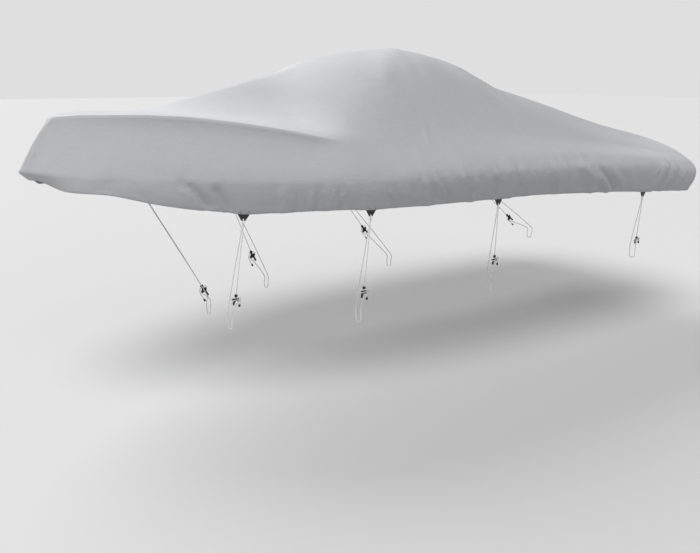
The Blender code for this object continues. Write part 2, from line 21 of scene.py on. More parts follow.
import bmesh
import bpy
from mathutils import Matrix, Vector, noise
from mathutils.bvhtree import BVHTree
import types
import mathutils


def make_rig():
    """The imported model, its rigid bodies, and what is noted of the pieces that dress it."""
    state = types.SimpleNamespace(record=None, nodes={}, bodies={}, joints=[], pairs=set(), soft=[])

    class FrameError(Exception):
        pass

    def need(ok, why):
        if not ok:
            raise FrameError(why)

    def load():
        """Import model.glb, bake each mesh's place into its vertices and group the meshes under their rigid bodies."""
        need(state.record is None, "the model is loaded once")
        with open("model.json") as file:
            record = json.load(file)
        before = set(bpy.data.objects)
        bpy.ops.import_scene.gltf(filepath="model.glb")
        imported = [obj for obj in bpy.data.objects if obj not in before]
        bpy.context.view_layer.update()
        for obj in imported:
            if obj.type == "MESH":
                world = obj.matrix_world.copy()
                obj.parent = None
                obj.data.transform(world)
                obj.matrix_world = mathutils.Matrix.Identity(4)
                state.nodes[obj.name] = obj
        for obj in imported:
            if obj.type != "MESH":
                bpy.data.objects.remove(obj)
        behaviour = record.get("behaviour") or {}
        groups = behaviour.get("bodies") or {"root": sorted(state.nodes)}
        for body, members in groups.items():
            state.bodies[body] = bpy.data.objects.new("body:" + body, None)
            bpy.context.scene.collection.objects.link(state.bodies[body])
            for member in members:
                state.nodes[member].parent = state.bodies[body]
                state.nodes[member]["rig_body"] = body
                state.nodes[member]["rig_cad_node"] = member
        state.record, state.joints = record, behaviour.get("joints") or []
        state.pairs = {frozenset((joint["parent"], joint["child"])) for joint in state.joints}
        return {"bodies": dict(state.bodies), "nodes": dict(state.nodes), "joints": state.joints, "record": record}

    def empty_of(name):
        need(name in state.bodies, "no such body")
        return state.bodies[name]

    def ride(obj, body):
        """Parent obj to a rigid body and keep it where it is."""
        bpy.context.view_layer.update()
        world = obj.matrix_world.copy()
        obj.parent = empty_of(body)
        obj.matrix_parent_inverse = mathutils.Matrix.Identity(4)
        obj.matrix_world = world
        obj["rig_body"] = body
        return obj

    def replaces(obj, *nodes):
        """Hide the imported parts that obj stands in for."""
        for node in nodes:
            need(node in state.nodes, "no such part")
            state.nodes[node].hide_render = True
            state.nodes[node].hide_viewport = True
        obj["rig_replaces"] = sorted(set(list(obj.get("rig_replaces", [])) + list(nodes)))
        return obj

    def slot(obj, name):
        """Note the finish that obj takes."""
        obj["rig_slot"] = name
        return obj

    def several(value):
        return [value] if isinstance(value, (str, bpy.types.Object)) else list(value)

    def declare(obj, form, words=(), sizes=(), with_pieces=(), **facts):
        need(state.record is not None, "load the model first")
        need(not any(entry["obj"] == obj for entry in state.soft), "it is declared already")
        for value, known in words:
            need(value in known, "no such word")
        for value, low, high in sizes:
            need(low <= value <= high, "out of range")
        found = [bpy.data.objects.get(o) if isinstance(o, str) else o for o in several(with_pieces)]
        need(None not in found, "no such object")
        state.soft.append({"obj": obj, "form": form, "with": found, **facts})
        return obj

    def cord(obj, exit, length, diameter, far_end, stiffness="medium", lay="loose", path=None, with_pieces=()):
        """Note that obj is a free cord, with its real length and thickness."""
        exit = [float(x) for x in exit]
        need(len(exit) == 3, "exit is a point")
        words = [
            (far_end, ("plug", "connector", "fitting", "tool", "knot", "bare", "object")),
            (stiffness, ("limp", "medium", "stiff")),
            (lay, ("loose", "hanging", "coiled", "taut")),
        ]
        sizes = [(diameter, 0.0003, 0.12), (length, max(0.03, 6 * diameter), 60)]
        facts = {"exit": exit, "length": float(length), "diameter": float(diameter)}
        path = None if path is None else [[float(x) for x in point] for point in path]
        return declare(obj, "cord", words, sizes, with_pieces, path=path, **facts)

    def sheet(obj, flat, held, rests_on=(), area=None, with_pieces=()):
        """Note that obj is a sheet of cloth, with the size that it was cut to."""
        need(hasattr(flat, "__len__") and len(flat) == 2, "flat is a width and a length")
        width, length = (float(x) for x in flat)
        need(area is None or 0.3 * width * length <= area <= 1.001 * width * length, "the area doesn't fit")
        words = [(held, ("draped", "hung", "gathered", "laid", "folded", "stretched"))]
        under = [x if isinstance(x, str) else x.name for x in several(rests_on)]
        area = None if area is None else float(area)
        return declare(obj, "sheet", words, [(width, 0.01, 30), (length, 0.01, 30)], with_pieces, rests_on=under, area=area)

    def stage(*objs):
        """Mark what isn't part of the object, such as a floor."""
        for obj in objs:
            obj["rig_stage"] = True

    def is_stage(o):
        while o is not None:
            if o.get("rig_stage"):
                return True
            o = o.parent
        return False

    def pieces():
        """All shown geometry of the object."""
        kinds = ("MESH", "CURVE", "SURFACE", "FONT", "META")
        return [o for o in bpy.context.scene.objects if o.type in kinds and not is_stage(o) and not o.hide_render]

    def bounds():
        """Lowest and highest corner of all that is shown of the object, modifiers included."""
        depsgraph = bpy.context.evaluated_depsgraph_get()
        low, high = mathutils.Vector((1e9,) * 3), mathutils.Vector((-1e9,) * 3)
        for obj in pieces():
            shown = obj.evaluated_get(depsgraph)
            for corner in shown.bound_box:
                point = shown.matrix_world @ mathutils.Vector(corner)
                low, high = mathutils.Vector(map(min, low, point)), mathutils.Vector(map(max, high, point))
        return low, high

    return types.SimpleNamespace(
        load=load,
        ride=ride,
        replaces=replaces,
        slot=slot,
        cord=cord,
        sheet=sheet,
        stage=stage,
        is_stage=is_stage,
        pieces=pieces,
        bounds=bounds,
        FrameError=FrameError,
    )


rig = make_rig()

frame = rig.load()
CAD_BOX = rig.bounds()
LOG = logging.getLogger("boat_cover")

BODY = "root"
MERGE = 0.00005            # points nearer than this are one
GAP = 0.0003               # between pieces that touch
DECIMALS = 6               # of the coordinates by which a point is found again


# ---------------------------------------------------------------- named options

class Side(Enum):
    """A side of the boat. Its value is the sign that y has there."""

    PORT = 1
    STARBOARD = -1

    @property
    def label(self) -> str:
        """The side's name as it stands in the names of pieces."""
        return self.name.lower()


class Slot(Enum):
    """The record's material slots."""

    CLOTH = "cover_cloth"
    WEBBING = "black_webbing"
    CORD = "white_cord"
    PLASTIC = "black_plastic"


class Level(Enum):
    """Where a section passes over the boat, counted up from the hem."""

    HEM = 0
    BEAM = 1
    RAIL = 2
    ROOF = 3
    RIDGE = 4


HEM, BEAM, RAIL, ROOF, RIDGE = (level.value for level in Level)


# ---------------------------------------------------------------- tables

class Section(NamedTuple):
    """A section across the boat, with heights above the ground.

    x is where it meets the gunwale and set_back how far its top lies aft of that. The rest
    say where the cloth passes over the ridge, the roof's edge, the rail, the gunwale's beam
    and the hem.
    """

    x: float
    set_back: float
    ridge: float
    roof_y: float
    roof_z: float
    rail_y: float
    rail_z: float
    beam_y: float
    beam_z: float
    hem_y: float
    hem_z: float


SECTIONS = (
    Section(2.67, 0.170, 1.783, 0.025, 1.784, 0.050, 1.779, 0.057, 1.463, 0.066, 1.418),
    Section(2.55, 0.170, 1.785, 0.100, 1.787, 0.190, 1.792, 0.222, 1.450, 0.238, 1.361),
    Section(2.35, 0.170, 1.787, 0.180, 1.789, 0.355, 1.794, 0.400, 1.437, 0.393, 1.346),
    Section(2.10, 0.160, 1.812, 0.250, 1.789, 0.500, 1.785, 0.555, 1.427, 0.538, 1.286),
    Section(1.80, 0.130, 1.864, 0.320, 1.790, 0.645, 1.752, 0.715, 1.412, 0.660, 1.232),
    Section(1.50, 0.100, 1.926, 0.400, 1.776, 0.765, 1.706, 0.847, 1.402, 0.780, 1.208),
    Section(1.20, 0.060, 1.992, 0.500, 1.766, 0.860, 1.652, 0.944, 1.392, 0.872, 1.206),
    Section(0.90, 0.020, 2.048, 0.620, 1.850, 0.905, 1.610, 1.016, 1.382, 0.944, 1.196),
    Section(0.62, 0.000, 2.131, 0.610, 1.960, 0.910, 1.602, 1.054, 1.379, 0.982, 1.188),
    Section(0.30, 0.000, 2.183, 0.530, 2.063, 0.895, 1.625, 1.077, 1.378, 1.004, 1.183),
    Section(0.00, 0.000, 2.210, 0.450, 2.115, 0.865, 1.650, 1.090, 1.378, 1.017, 1.180),
    Section(-0.50, 0.000, 2.166, 0.400, 2.012, 0.835, 1.625, 1.099, 1.373, 1.026, 1.173),
    Section(-0.80, 0.000, 2.094, 0.390, 1.886, 0.820, 1.592, 1.100, 1.366, 1.028, 1.163),
    Section(-1.00, 0.000, 2.017, 0.390, 1.832, 0.810, 1.570, 1.100, 1.359, 1.028, 1.152),
    Section(-1.20, 0.000, 1.935, 0.392, 1.777, 0.808, 1.550, 1.098, 1.352, 1.026, 1.141),
    Section(-1.50, 0.000, 1.862, 0.400, 1.714, 0.808, 1.517, 1.093, 1.340, 1.022, 1.124),
    Section(-1.95, 0.000, 1.755, 0.440, 1.600, 0.830, 1.462, 1.083, 1.311, 1.014, 1.091),
    Section(-2.35, 0.000, 1.650, 0.540, 1.505, 0.870, 1.402, 1.075, 1.268, 1.008, 1.064),
    Section(-2.64, 0.000, 1.568, 0.620, 1.462, 0.920, 1.355, 1.072, 1.228, 1.004, 1.044),
)


class Fold(NamedTuple):
    """A fold in the cloth: a soft ridge, or a trough where its height is below nought.

    It runs from one point to another, which in most folds is the higher: x along the boat, v
    up the section from the hem to the ridge. follow is the share of its height that the cloth
    dips beside it, on the side towards the stern; it is below nought for a dip towards the
    bow.
    """

    x_low: float
    v_low: float
    x_high: float
    v_high: float
    width: float
    height: float
    follow: float = 0.0


# The broad folds, which the solid has as well
MAIN_FOLDS = {
    Side.PORT: (
        Fold(1.16, 2.10, 0.86, 2.95, 0.240, -0.005),
        Fold(0.20, 2.95, 0.04, 3.60, 0.120, 0.004, 0.4),
        Fold(1.84, 0.15, 1.96, 0.95, 0.075, -0.012),
        Fold(1.745, 0.10, 1.80, 0.70, 0.060, -0.010),
        Fold(1.40, 0.10, 1.43, 0.60, 0.085, 0.007),
        Fold(1.14, 0.10, 1.18, 0.65, 0.085, 0.006),
        Fold(0.40, 0.10, 0.46, 0.70, 0.090, 0.007),
        Fold(0.02, 0.10, 0.14, 1.00, 0.070, 0.011),
        Fold(-0.35, 0.15, -0.27, 0.95, 0.070, 0.010),
        Fold(-0.52, 0.20, -0.43, 0.95, 0.065, 0.008),
        Fold(-0.84, 0.20, -0.75, 0.95, 0.075, 0.008),
        Fold(-1.26, 0.15, -1.08, 1.05, 0.075, 0.014),
        Fold(-1.46, 0.15, -1.24, 1.00, 0.075, 0.012),
        Fold(-2.07, 0.15, -2.16, 1.05, 0.070, 0.011),
        Fold(-2.22, 0.15, -2.32, 1.00, 0.065, 0.009),
        Fold(-2.17, 1.05, -2.14, 1.60, 0.070, 0.009),
        Fold(-2.52, 0.15, -2.46, 0.95, 0.070, 0.009),
    ),
    Side.STARBOARD: (
        Fold(1.12, 2.15, 0.84, 2.90, 0.260, -0.005),
        Fold(0.24, 2.90, 0.08, 3.50, 0.140, 0.004, 0.4),
        Fold(1.90, 0.15, 1.98, 0.90, 0.080, -0.011),
        Fold(1.47, 0.10, 1.44, 0.70, 0.080, 0.008),
        Fold(1.12, 0.10, 1.19, 0.80, 0.085, 0.007),
        Fold(0.52, 0.10, 0.47, 0.75, 0.085, 0.008),
        Fold(0.18, 0.15, 0.25, 0.95, 0.070, 0.010),
        Fold(-0.46, 0.15, -0.38, 1.00, 0.075, 0.011),
        Fold(-0.78, 0.20, -0.66, 0.95, 0.070, 0.009),
        Fold(-1.12, 0.15, -0.98, 1.05, 0.075, 0.013),
        Fold(-1.50, 0.15, -1.60, 0.95, 0.075, 0.010),
        Fold(-2.12, 0.15, -2.24, 1.05, 0.070, 0.012),
        Fold(-2.46, 0.15, -2.40, 1.00, 0.070, 0.009),
    ),
}
# The sharper folds between them
CREASES = {
    Side.PORT: (
        Fold(1.835, 0.18, 1.93, 0.80, 0.042, -0.012, -0.5),
        Fold(1.71, 0.08, 1.79, 0.74, 0.036, -0.012, -0.6),
        Fold(1.55, 0.12, 1.60, 0.48, 0.034, 0.006, 0.6),
        Fold(1.44, 0.30, 1.48, 0.80, 0.045, -0.005),
        Fold(1.345, 0.12, 1.375, 0.52, 0.030, 0.007, 0.7),
        Fold(1.235, 0.15, 1.255, 0.60, 0.032, 0.008, 0.8),
        Fold(1.17, 0.34, 1.20, 0.82, 0.036, -0.005, -0.5),
        Fold(1.07, 0.12, 1.115, 0.60, 0.030, 0.009, 0.8),
        Fold(1.085, 0.24, 1.055, 0.60, 0.026, 0.006),
        Fold(0.95, 0.30, 1.02, 0.85, 0.045, 0.005, 0.5),
        Fold(0.74, 0.16, 0.81, 0.66, 0.034, 0.009, 0.8),
        Fold(0.66, 0.14, 0.74, 0.64, 0.034, 0.009, 0.8),
        Fold(0.545, 0.28, 0.60, 0.62, 0.034, 0.006, 0.6),
        Fold(0.47, 0.62, 0.51, 0.98, 0.040, -0.008),
        Fold(0.375, 0.22, 0.475, 0.88, 0.034, 0.010, 0.7),
        Fold(0.27, 0.20, 0.385, 0.88, 0.036, 0.011, 0.7),
        Fold(0.175, 0.28, 0.275, 0.84, 0.048, 0.008, 0.6),
        Fold(0.03, 0.30, 0.135, 1.03, 0.030, -0.013, -0.7),
        Fold(-0.06, 0.18, 0.03, 0.80, 0.034, 0.009, 0.7),
        Fold(-0.20, 0.14, -0.085, 0.86, 0.032, 0.011, 0.8),
        Fold(-0.325, 0.12, -0.155, 0.95, 0.032, 0.012, 0.8),
        Fold(-0.42, 0.40, -0.36, 1.02, 0.034, -0.009, -0.4),
        Fold(-0.60, 0.26, -0.51, 0.90, 0.038, 0.007, 0.6),
        Fold(-0.70, 0.30, -0.60, 0.92, 0.034, 0.006, 0.7),
        Fold(-0.835, 0.20, -0.70, 0.98, 0.028, -0.011, -0.7),
        Fold(-0.98, 0.30, -0.88, 0.92, 0.040, 0.006, 0.5),
        Fold(-1.12, 0.24, -1.00, 0.92, 0.036, -0.006, -0.6),
        Fold(-1.27, 0.52, -1.03, 1.02, 0.036, 0.012, 0.7),
        Fold(-1.47, 0.12, -1.14, 1.04, 0.040, 0.016, 0.5),
        Fold(-1.55, 0.16, -1.23, 1.02, 0.034, -0.014),
        Fold(-1.63, 0.34, -1.37, 1.00, 0.040, 0.009, 0.6),
        Fold(-1.80, 0.28, -1.66, 0.90, 0.040, 0.006, 0.5),
        Fold(-1.99, 0.30, -2.07, 0.84, 0.030, 0.009, 0.8),
        Fold(-2.12, 0.12, -2.205, 1.02, 0.030, 0.013, 0.8),
        Fold(-2.29, 0.18, -2.36, 0.98, 0.028, 0.010, 0.8),
        Fold(-2.41, 0.20, -2.49, 0.92, 0.030, 0.010, 0.7),
        Fold(-2.60, 0.18, -2.56, 0.92, 0.034, 0.007, 0.6),
        Fold(-2.20, 1.05, -2.18, 1.55, 0.040, 0.011, 0.7),
        Fold(0.60, 1.15, -0.85, 1.19, 0.10, 0.006),
        Fold(-0.90, 1.20, -2.30, 1.17, 0.10, 0.009),
        Fold(0.33, 1.90, 0.30, 2.15, 0.050, 0.004, 0.4),
        Fold(0.44, 2.97, 0.03, 3.60, 0.15, 0.011),
        Fold(0.56, 2.96, 0.49, 2.90, 0.022, -0.003, -0.5),
        Fold(0.56, 2.69, 0.36, 2.63, 0.026, 0.004, 0.7),
    ),
    Side.STARBOARD: (
        Fold(1.79, 0.12, 1.87, 0.70, 0.038, -0.010, -0.6),
        Fold(1.66, 0.12, 1.73, 0.60, 0.036, 0.007, 0.6),
        Fold(1.31, 0.16, 1.37, 0.66, 0.036, 0.008, 0.7),
        Fold(1.02, 0.18, 1.08, 0.62, 0.032, 0.008, 0.7),
        Fold(0.70, 0.20, 0.79, 0.70, 0.034, 0.009, 0.7),
        Fold(0.52, 0.34, 0.60, 0.88, 0.036, -0.007, -0.5),
        Fold(0.38, 0.24, 0.46, 0.80, 0.036, 0.009, 0.7),
        Fold(0.24, 0.24, 0.34, 0.94, 0.034, -0.010, -0.6),
        Fold(0.05, 0.20, 0.16, 0.90, 0.034, 0.010, 0.7),
        Fold(-0.15, 0.26, -0.05, 0.92, 0.036, 0.009, 0.7),
        Fold(-0.42, 0.20, -0.28, 1.02, 0.032, -0.012, -0.6),
        Fold(-0.62, 0.30, -0.53, 0.94, 0.034, 0.008, 0.6),
        Fold(-0.95, 0.24, -0.80, 0.97, 0.036, 0.010, 0.6),
        Fold(-1.27, 0.14, -1.01, 1.03, 0.038, 0.013, 0.6),
        Fold(-1.40, 0.22, -1.20, 1.00, 0.034, -0.011, -0.4),
        Fold(-1.62, 0.22, -1.50, 0.92, 0.036, 0.008, 0.6),
        Fold(-1.84, 0.34, -1.76, 0.90, 0.036, 0.006, 0.5),
        Fold(-2.07, 0.24, -2.14, 0.92, 0.032, 0.010, 0.7),
        Fold(-2.22, 0.14, -2.31, 1.00, 0.030, 0.012, 0.8),
        Fold(-2.38, 0.20, -2.45, 0.92, 0.032, 0.009, 0.7),
        Fold(-2.58, 0.20, -2.54, 0.92, 0.034, 0.007, 0.6),
        Fold(-2.30, 1.05, -2.27, 1.50, 0.040, 0.008, 0.6),
        Fold(0.50, 1.17, -1.10, 1.20, 0.10, 0.007),
        Fold(-1.15, 1.18, -2.25, 1.16, 0.10, 0.008),
    ),
}


class Ripple(NamedTuple):
    """A layer of small unevenness in the cloth."""

    lumps: tuple[float, float, float]                # to a metre, along each axis
    height: float
    shift: tuple[float, float, float] = (0.0, 0.0, 0.0)

    def at(self, point: Vector) -> float:
        """How far it lifts the cloth at a point."""
        spot = [c * count + start for c, count, start in zip(point, self.lumps, self.shift)]
        return noise.noise(Vector(spot)) * self.height


RIPPLES = (
    Ripple((2.6, 2.6, 2.6), 0.0040, (4.1, 0.7, 9.3)),
    Ripple((11.0, 4.0, 6.0), 0.0016),
    Ripple((26.0, 9.0, 15.0), 0.0011, (0.0, 0.0, 3.0)),
)
BOW_RIPPLE = Ripple((8.0, 8.0, 8.0), 0.0045)         # on the skirt round the bow only


class Tie(NamedTuple):
    """Where a tie goes: heights are above the ground, and y is to port on both sides.

    tab_x is its tab's place along the hem, head the middle of its cleat's head, and rail the
    bottom edge of the outer face of the trailer's rail.
    """

    tab_x: float
    head: tuple[float, float, float]
    rail: tuple[float, float, float]


PORT_TIES = (
    Tie(1.630, (1.520, 0.405, 0.620), (1.470, 0.245, 0.345)),
    Tie(0.835, (0.731, 0.750, 0.624), (0.675, 0.640, 0.350)),
    Tie(-0.256, (-0.462, 0.811, 0.700), (-0.615, 0.640, 0.357)),
    Tie(-1.992, (-2.312, 0.767, 0.628), (-2.490, 0.640, 0.405)),
)
STARBOARD_BOW_TIE = Tie(1.630, (1.385, 0.350, 0.515), (1.400, 0.250, 0.340))
TIES = {Side.PORT: PORT_TIES, Side.STARBOARD: (STARBOARD_BOW_TIE, *PORT_TIES[1:])}

# How the long tie crosses its cleat and hangs free: along from the cleat's middle, up, out
CLEAT_TURNS = (
    (0.002, -0.062, 0.001),
    (0.008, -0.040, 0.005),
    (0.016, -0.024, 0.0096),
    (0.024, -0.010, 0.0100),
    (0.014, 0.002, 0.0100),
    (-0.004, 0.003, 0.0100),
    (-0.023, 0.007, 0.0100),
    (-0.0335, 0.012, 0.0060),
    (-0.034, 0.020, 0.0030),
    (-0.024, 0.026, 0.0060),
    (-0.010, 0.025, 0.0100),
    (0.008, 0.022, 0.0100),
    (0.024, 0.015, 0.0080),
    (0.034, 0.001, 0.0050),
    (0.038, -0.020, 0.0020),
    (0.037, -0.042, 0.0000),
    (0.035, -0.060, 0.0000),
)
# The cleat's edge below its head, round a slanted bar with a tongue under it
CLEAT_BAR = (
    (0.006, 0.024),
    (0.008, 0.012),
    (0.024, -0.001),
    (0.026, -0.010),
    (0.020, -0.018),
    (0.002, -0.014),
    (-0.003, -0.020),
    (-0.008, -0.048),
    (-0.014, -0.050),
    (-0.018, -0.044),
    (-0.014, -0.010),
    (-0.025, -0.001),
    (-0.026, 0.008),
    (-0.020, 0.015),
    (-0.006, 0.014),
    (-0.006, 0.024),
)


# ---------------------------------------------------------------- numbers and curves

Amount = Union[float, Vector]


def hermite(p0: Amount, p1: Amount, m0: Amount, m1: Amount, t: float) -> Amount:
    """A cubic between two values.

    Args:
        p0: The value at t = 0.
        p1: The value at t = 1.
        m0: The slope at t = 0.
        m1: The slope at t = 1.
        t: How far along, from 0 to 1.

    Returns:
        The value at t, a number or a vector as the others are.
    """
    s = 1.0 - t
    return (p0 * (s * s * (1 + 2 * t)) + m0 * (t * s * s)
            + p1 * (t * t * (3 - 2 * t)) - m1 * (t * t * s))


def smooth_step(t: float) -> float:
    """0 below 0, 1 above 1, and smooth between."""
    t = max(0.0, min(1.0, t))
    return t * t * (3 - 2 * t)


class Ramp(NamedTuple):
    """Where something starts along a measure, and within what length of it that is whole."""

    start: float
    within: float

    def at(self, value: float) -> float:
        """0 up to the start, 1 from where it is whole, and smooth between."""
        return smooth_step((value - self.start) / self.within)


def column_slopes(xs: Sequence[float], values: Sequence[float]) -> list[float]:
    """Slopes for a cubic through a column of a table.

    Args:
        xs: Where the rows are.
        values: The column's values there.

    Returns:
        A slope for each row, such that the cubic never overshoots.
    """
    chords = [(b - a) / (xb - xa) for a, b, xa, xb in zip(values, values[1:], xs, xs[1:])]
    slopes = [chords[0]]
    for before, after in zip(chords, chords[1:]):
        level = before * after <= 0
        slopes.append(0.0 if level else 2 * before * after / (before + after))
    return slopes + [chords[-1]]


def catmull_rom(points: Sequence[Vector], step: float, most: int) -> list[Vector]:
    """Points on the smooth curve through the given ones.

    Args:
        points: What the curve passes through.
        step: The distance wanted between the curve's points.
        most: The most pieces between two of the given points.

    Returns:
        The curve's points, the given ones among them.
    """
    ends = [2 * points[0] - points[1], *points, 2 * points[-1] - points[-2]]
    curve = []
    for before, a, b, after in zip(ends, ends[1:], ends[2:], ends[3:]):
        span = (b - a).length
        slope_a = (b - before).normalized() * span
        slope_b = (after - a).normalized() * span
        count = max(1, min(most, round(span / step)))
        curve += [hermite(a, b, slope_a, slope_b, i / count) for i in range(count)]
    return [*curve, points[-1]]


def reaches(line: Sequence[Vector]) -> list[float]:
    """How far along a line of points each of them is."""
    reach = [0.0]
    for a, b in zip(line, line[1:]):
        reach.append(reach[-1] + (b - a).length)
    return reach


def on_side(point: Vector, side: Side) -> Vector:
    """A point of the port half, or its twin if the side is starboard."""
    return Vector((point.x, side.value * point.y, point.z))


# ---------------------------------------------------------------- shader graph

class Socket:
    """An output of a node. Arithmetic on it adds Math nodes, and gives their output."""

    def __init__(self, graph: "Graph", socket: bpy.types.NodeSocket) -> None:
        """Wrap a node's output socket.

        Args:
            graph: The graph that the node is in.
            socket: The output.
        """
        self.graph = graph
        self.socket = socket

    def _with(self, operation: str, *values: "Value") -> "Socket":
        """The output of a Math node on the given values, in their order."""
        return self.graph.out("ShaderNodeMath", {"operation": operation},
                              dict(enumerate(values)))

    def __add__(self, other: "Value") -> "Socket":
        """self + other."""
        return self._with("ADD", self, other)

    def __sub__(self, other: "Value") -> "Socket":
        """self - other."""
        return self._with("SUBTRACT", self, other)

    def __rsub__(self, other: "Value") -> "Socket":
        """other - self."""
        return self._with("SUBTRACT", other, self)

    def __mul__(self, other: "Value") -> "Socket":
        """self * other."""
        return self._with("MULTIPLY", self, other)

    __radd__ = __add__
    __rmul__ = __mul__

    def sine(self) -> "Socket":
        """The sine of it, in radians."""
        return self._with("SINE", self)

    def magnitude(self) -> "Socket":
        """Its value without its sign."""
        return self._with("ABSOLUTE", self)

    def most(self, other: "Value") -> "Socket":
        """The larger of the two."""
        return self._with("MAXIMUM", self, other)

    def between(self, low: float, high: float) -> "Socket":
        """0 where it is at low, 1 where it is at high, and smooth between."""
        return self.graph.out("ShaderNodeMapRange", {"interpolation_type": "SMOOTHSTEP"},
                              {"Value": self, "From Min": low, "From Max": high})


Value = Union[float, int, Socket]


class Graph:
    """The nodes of one material."""

    def __init__(self, name: str) -> None:
        """Make a material with a Principled shader.

        Args:
            name: The material's name.
        """
        self.material = bpy.data.materials.new(name)
        self.material.use_nodes = True
        self.tree = self.material.node_tree
        self.shader = self.tree.nodes["Principled BSDF"]

    def node(self, kind: str, settings: dict | None = None,
             inputs: dict | None = None) -> bpy.types.Node:
        """Add a node of any type.

        Args:
            kind: The node's type.
            settings: Its own settings, set first.
            inputs: Values or links for its sockets, by name or number.

        Returns:
            The node.
        """
        made = self.tree.nodes.new(kind)
        for name, value in (settings or {}).items():
            setattr(made, name, value)
        for name, value in (inputs or {}).items():
            self.feed(made.inputs[name], value)
        return made

    def out(self, kind: str, settings: dict | None = None, inputs: dict | None = None,
            output: int | str = 0) -> Socket:
        """Add a node, and give one of its outputs."""
        return Socket(self, self.node(kind, settings, inputs).outputs[output])

    def feed(self, slot: bpy.types.NodeSocket, value: object) -> None:
        """Link a socket to an input, or set the input's own value."""
        if isinstance(value, Socket):
            self.tree.links.new(value.socket, slot)
        else:
            slot.default_value = value

    def set(self, **values: object) -> None:
        """Set the shader's sockets; a name's underscores stand for its spaces."""
        for name, value in values.items():
            self.feed(self.shader.inputs[name.replace("_", " ")], value)

    def place(self, output: str, scale: Sequence[float] = (1, 1, 1)) -> Socket:
        """Coordinates, each times its own number.

        Args:
            output: "Object" or "UV".
            scale: What each coordinate is multiplied by.

        Returns:
            The scaled coordinates.
        """
        start = self.out("ShaderNodeTexCoord", output=output)
        return self.out("ShaderNodeMapping", inputs={"Vector": start, "Scale": scale})

    def axes(self, vector: Socket) -> list[Socket]:
        """The three numbers of a vector."""
        split = self.node("ShaderNodeSeparateXYZ", inputs={"Vector": vector})
        return [Socket(self, output) for output in split.outputs]

    def cloud(self, place: Socket, scale: float, detail: float,
              roughness: float = 0.5) -> Socket:
        """Noise about 0, from roughly -0.5 to 0.5.

        Args:
            place: The coordinates it is read at.
            scale: How many lumps there are to a metre.
            detail: How many finer layers it has.
            roughness: How strong the finer layers are.

        Returns:
            The noise.
        """
        noise_value = self.out("ShaderNodeTexNoise", None, {
            "Vector": place, "Scale": scale, "Detail": detail, "Roughness": roughness})
        return noise_value - 0.5

    def tint(self, dark: Sequence[float], light: Sequence[float], share: Value) -> Socket:
        """A colour between two.

        Args:
            dark: The colour at 0.
            light: The colour at 1.
            share: How far it is from the first to the second.

        Returns:
            The colour.
        """
        # The node's sockets for colours share their names with others, so they go by number
        return self.out("ShaderNodeMix", {"data_type": "RGBA", "clamp_factor": True},
                        {0: share, 6: (*dark, 1.0), 7: (*light, 1.0)}, output=2)

    def bump(self, height: Value, distance: float, below: Socket | None = None) -> Socket:
        """A bumped normal.

        Args:
            height: The height of the surface, in units of distance.
            distance: That unit, in metres.
            below: Another bump's normal, on which this one lies.

        Returns:
            The normal.
        """
        inputs = {"Height": height, "Distance": distance, "Strength": 1.0}
        if below is not None:
            inputs["Normal"] = below
        return self.out("ShaderNodeBump", None, inputs)


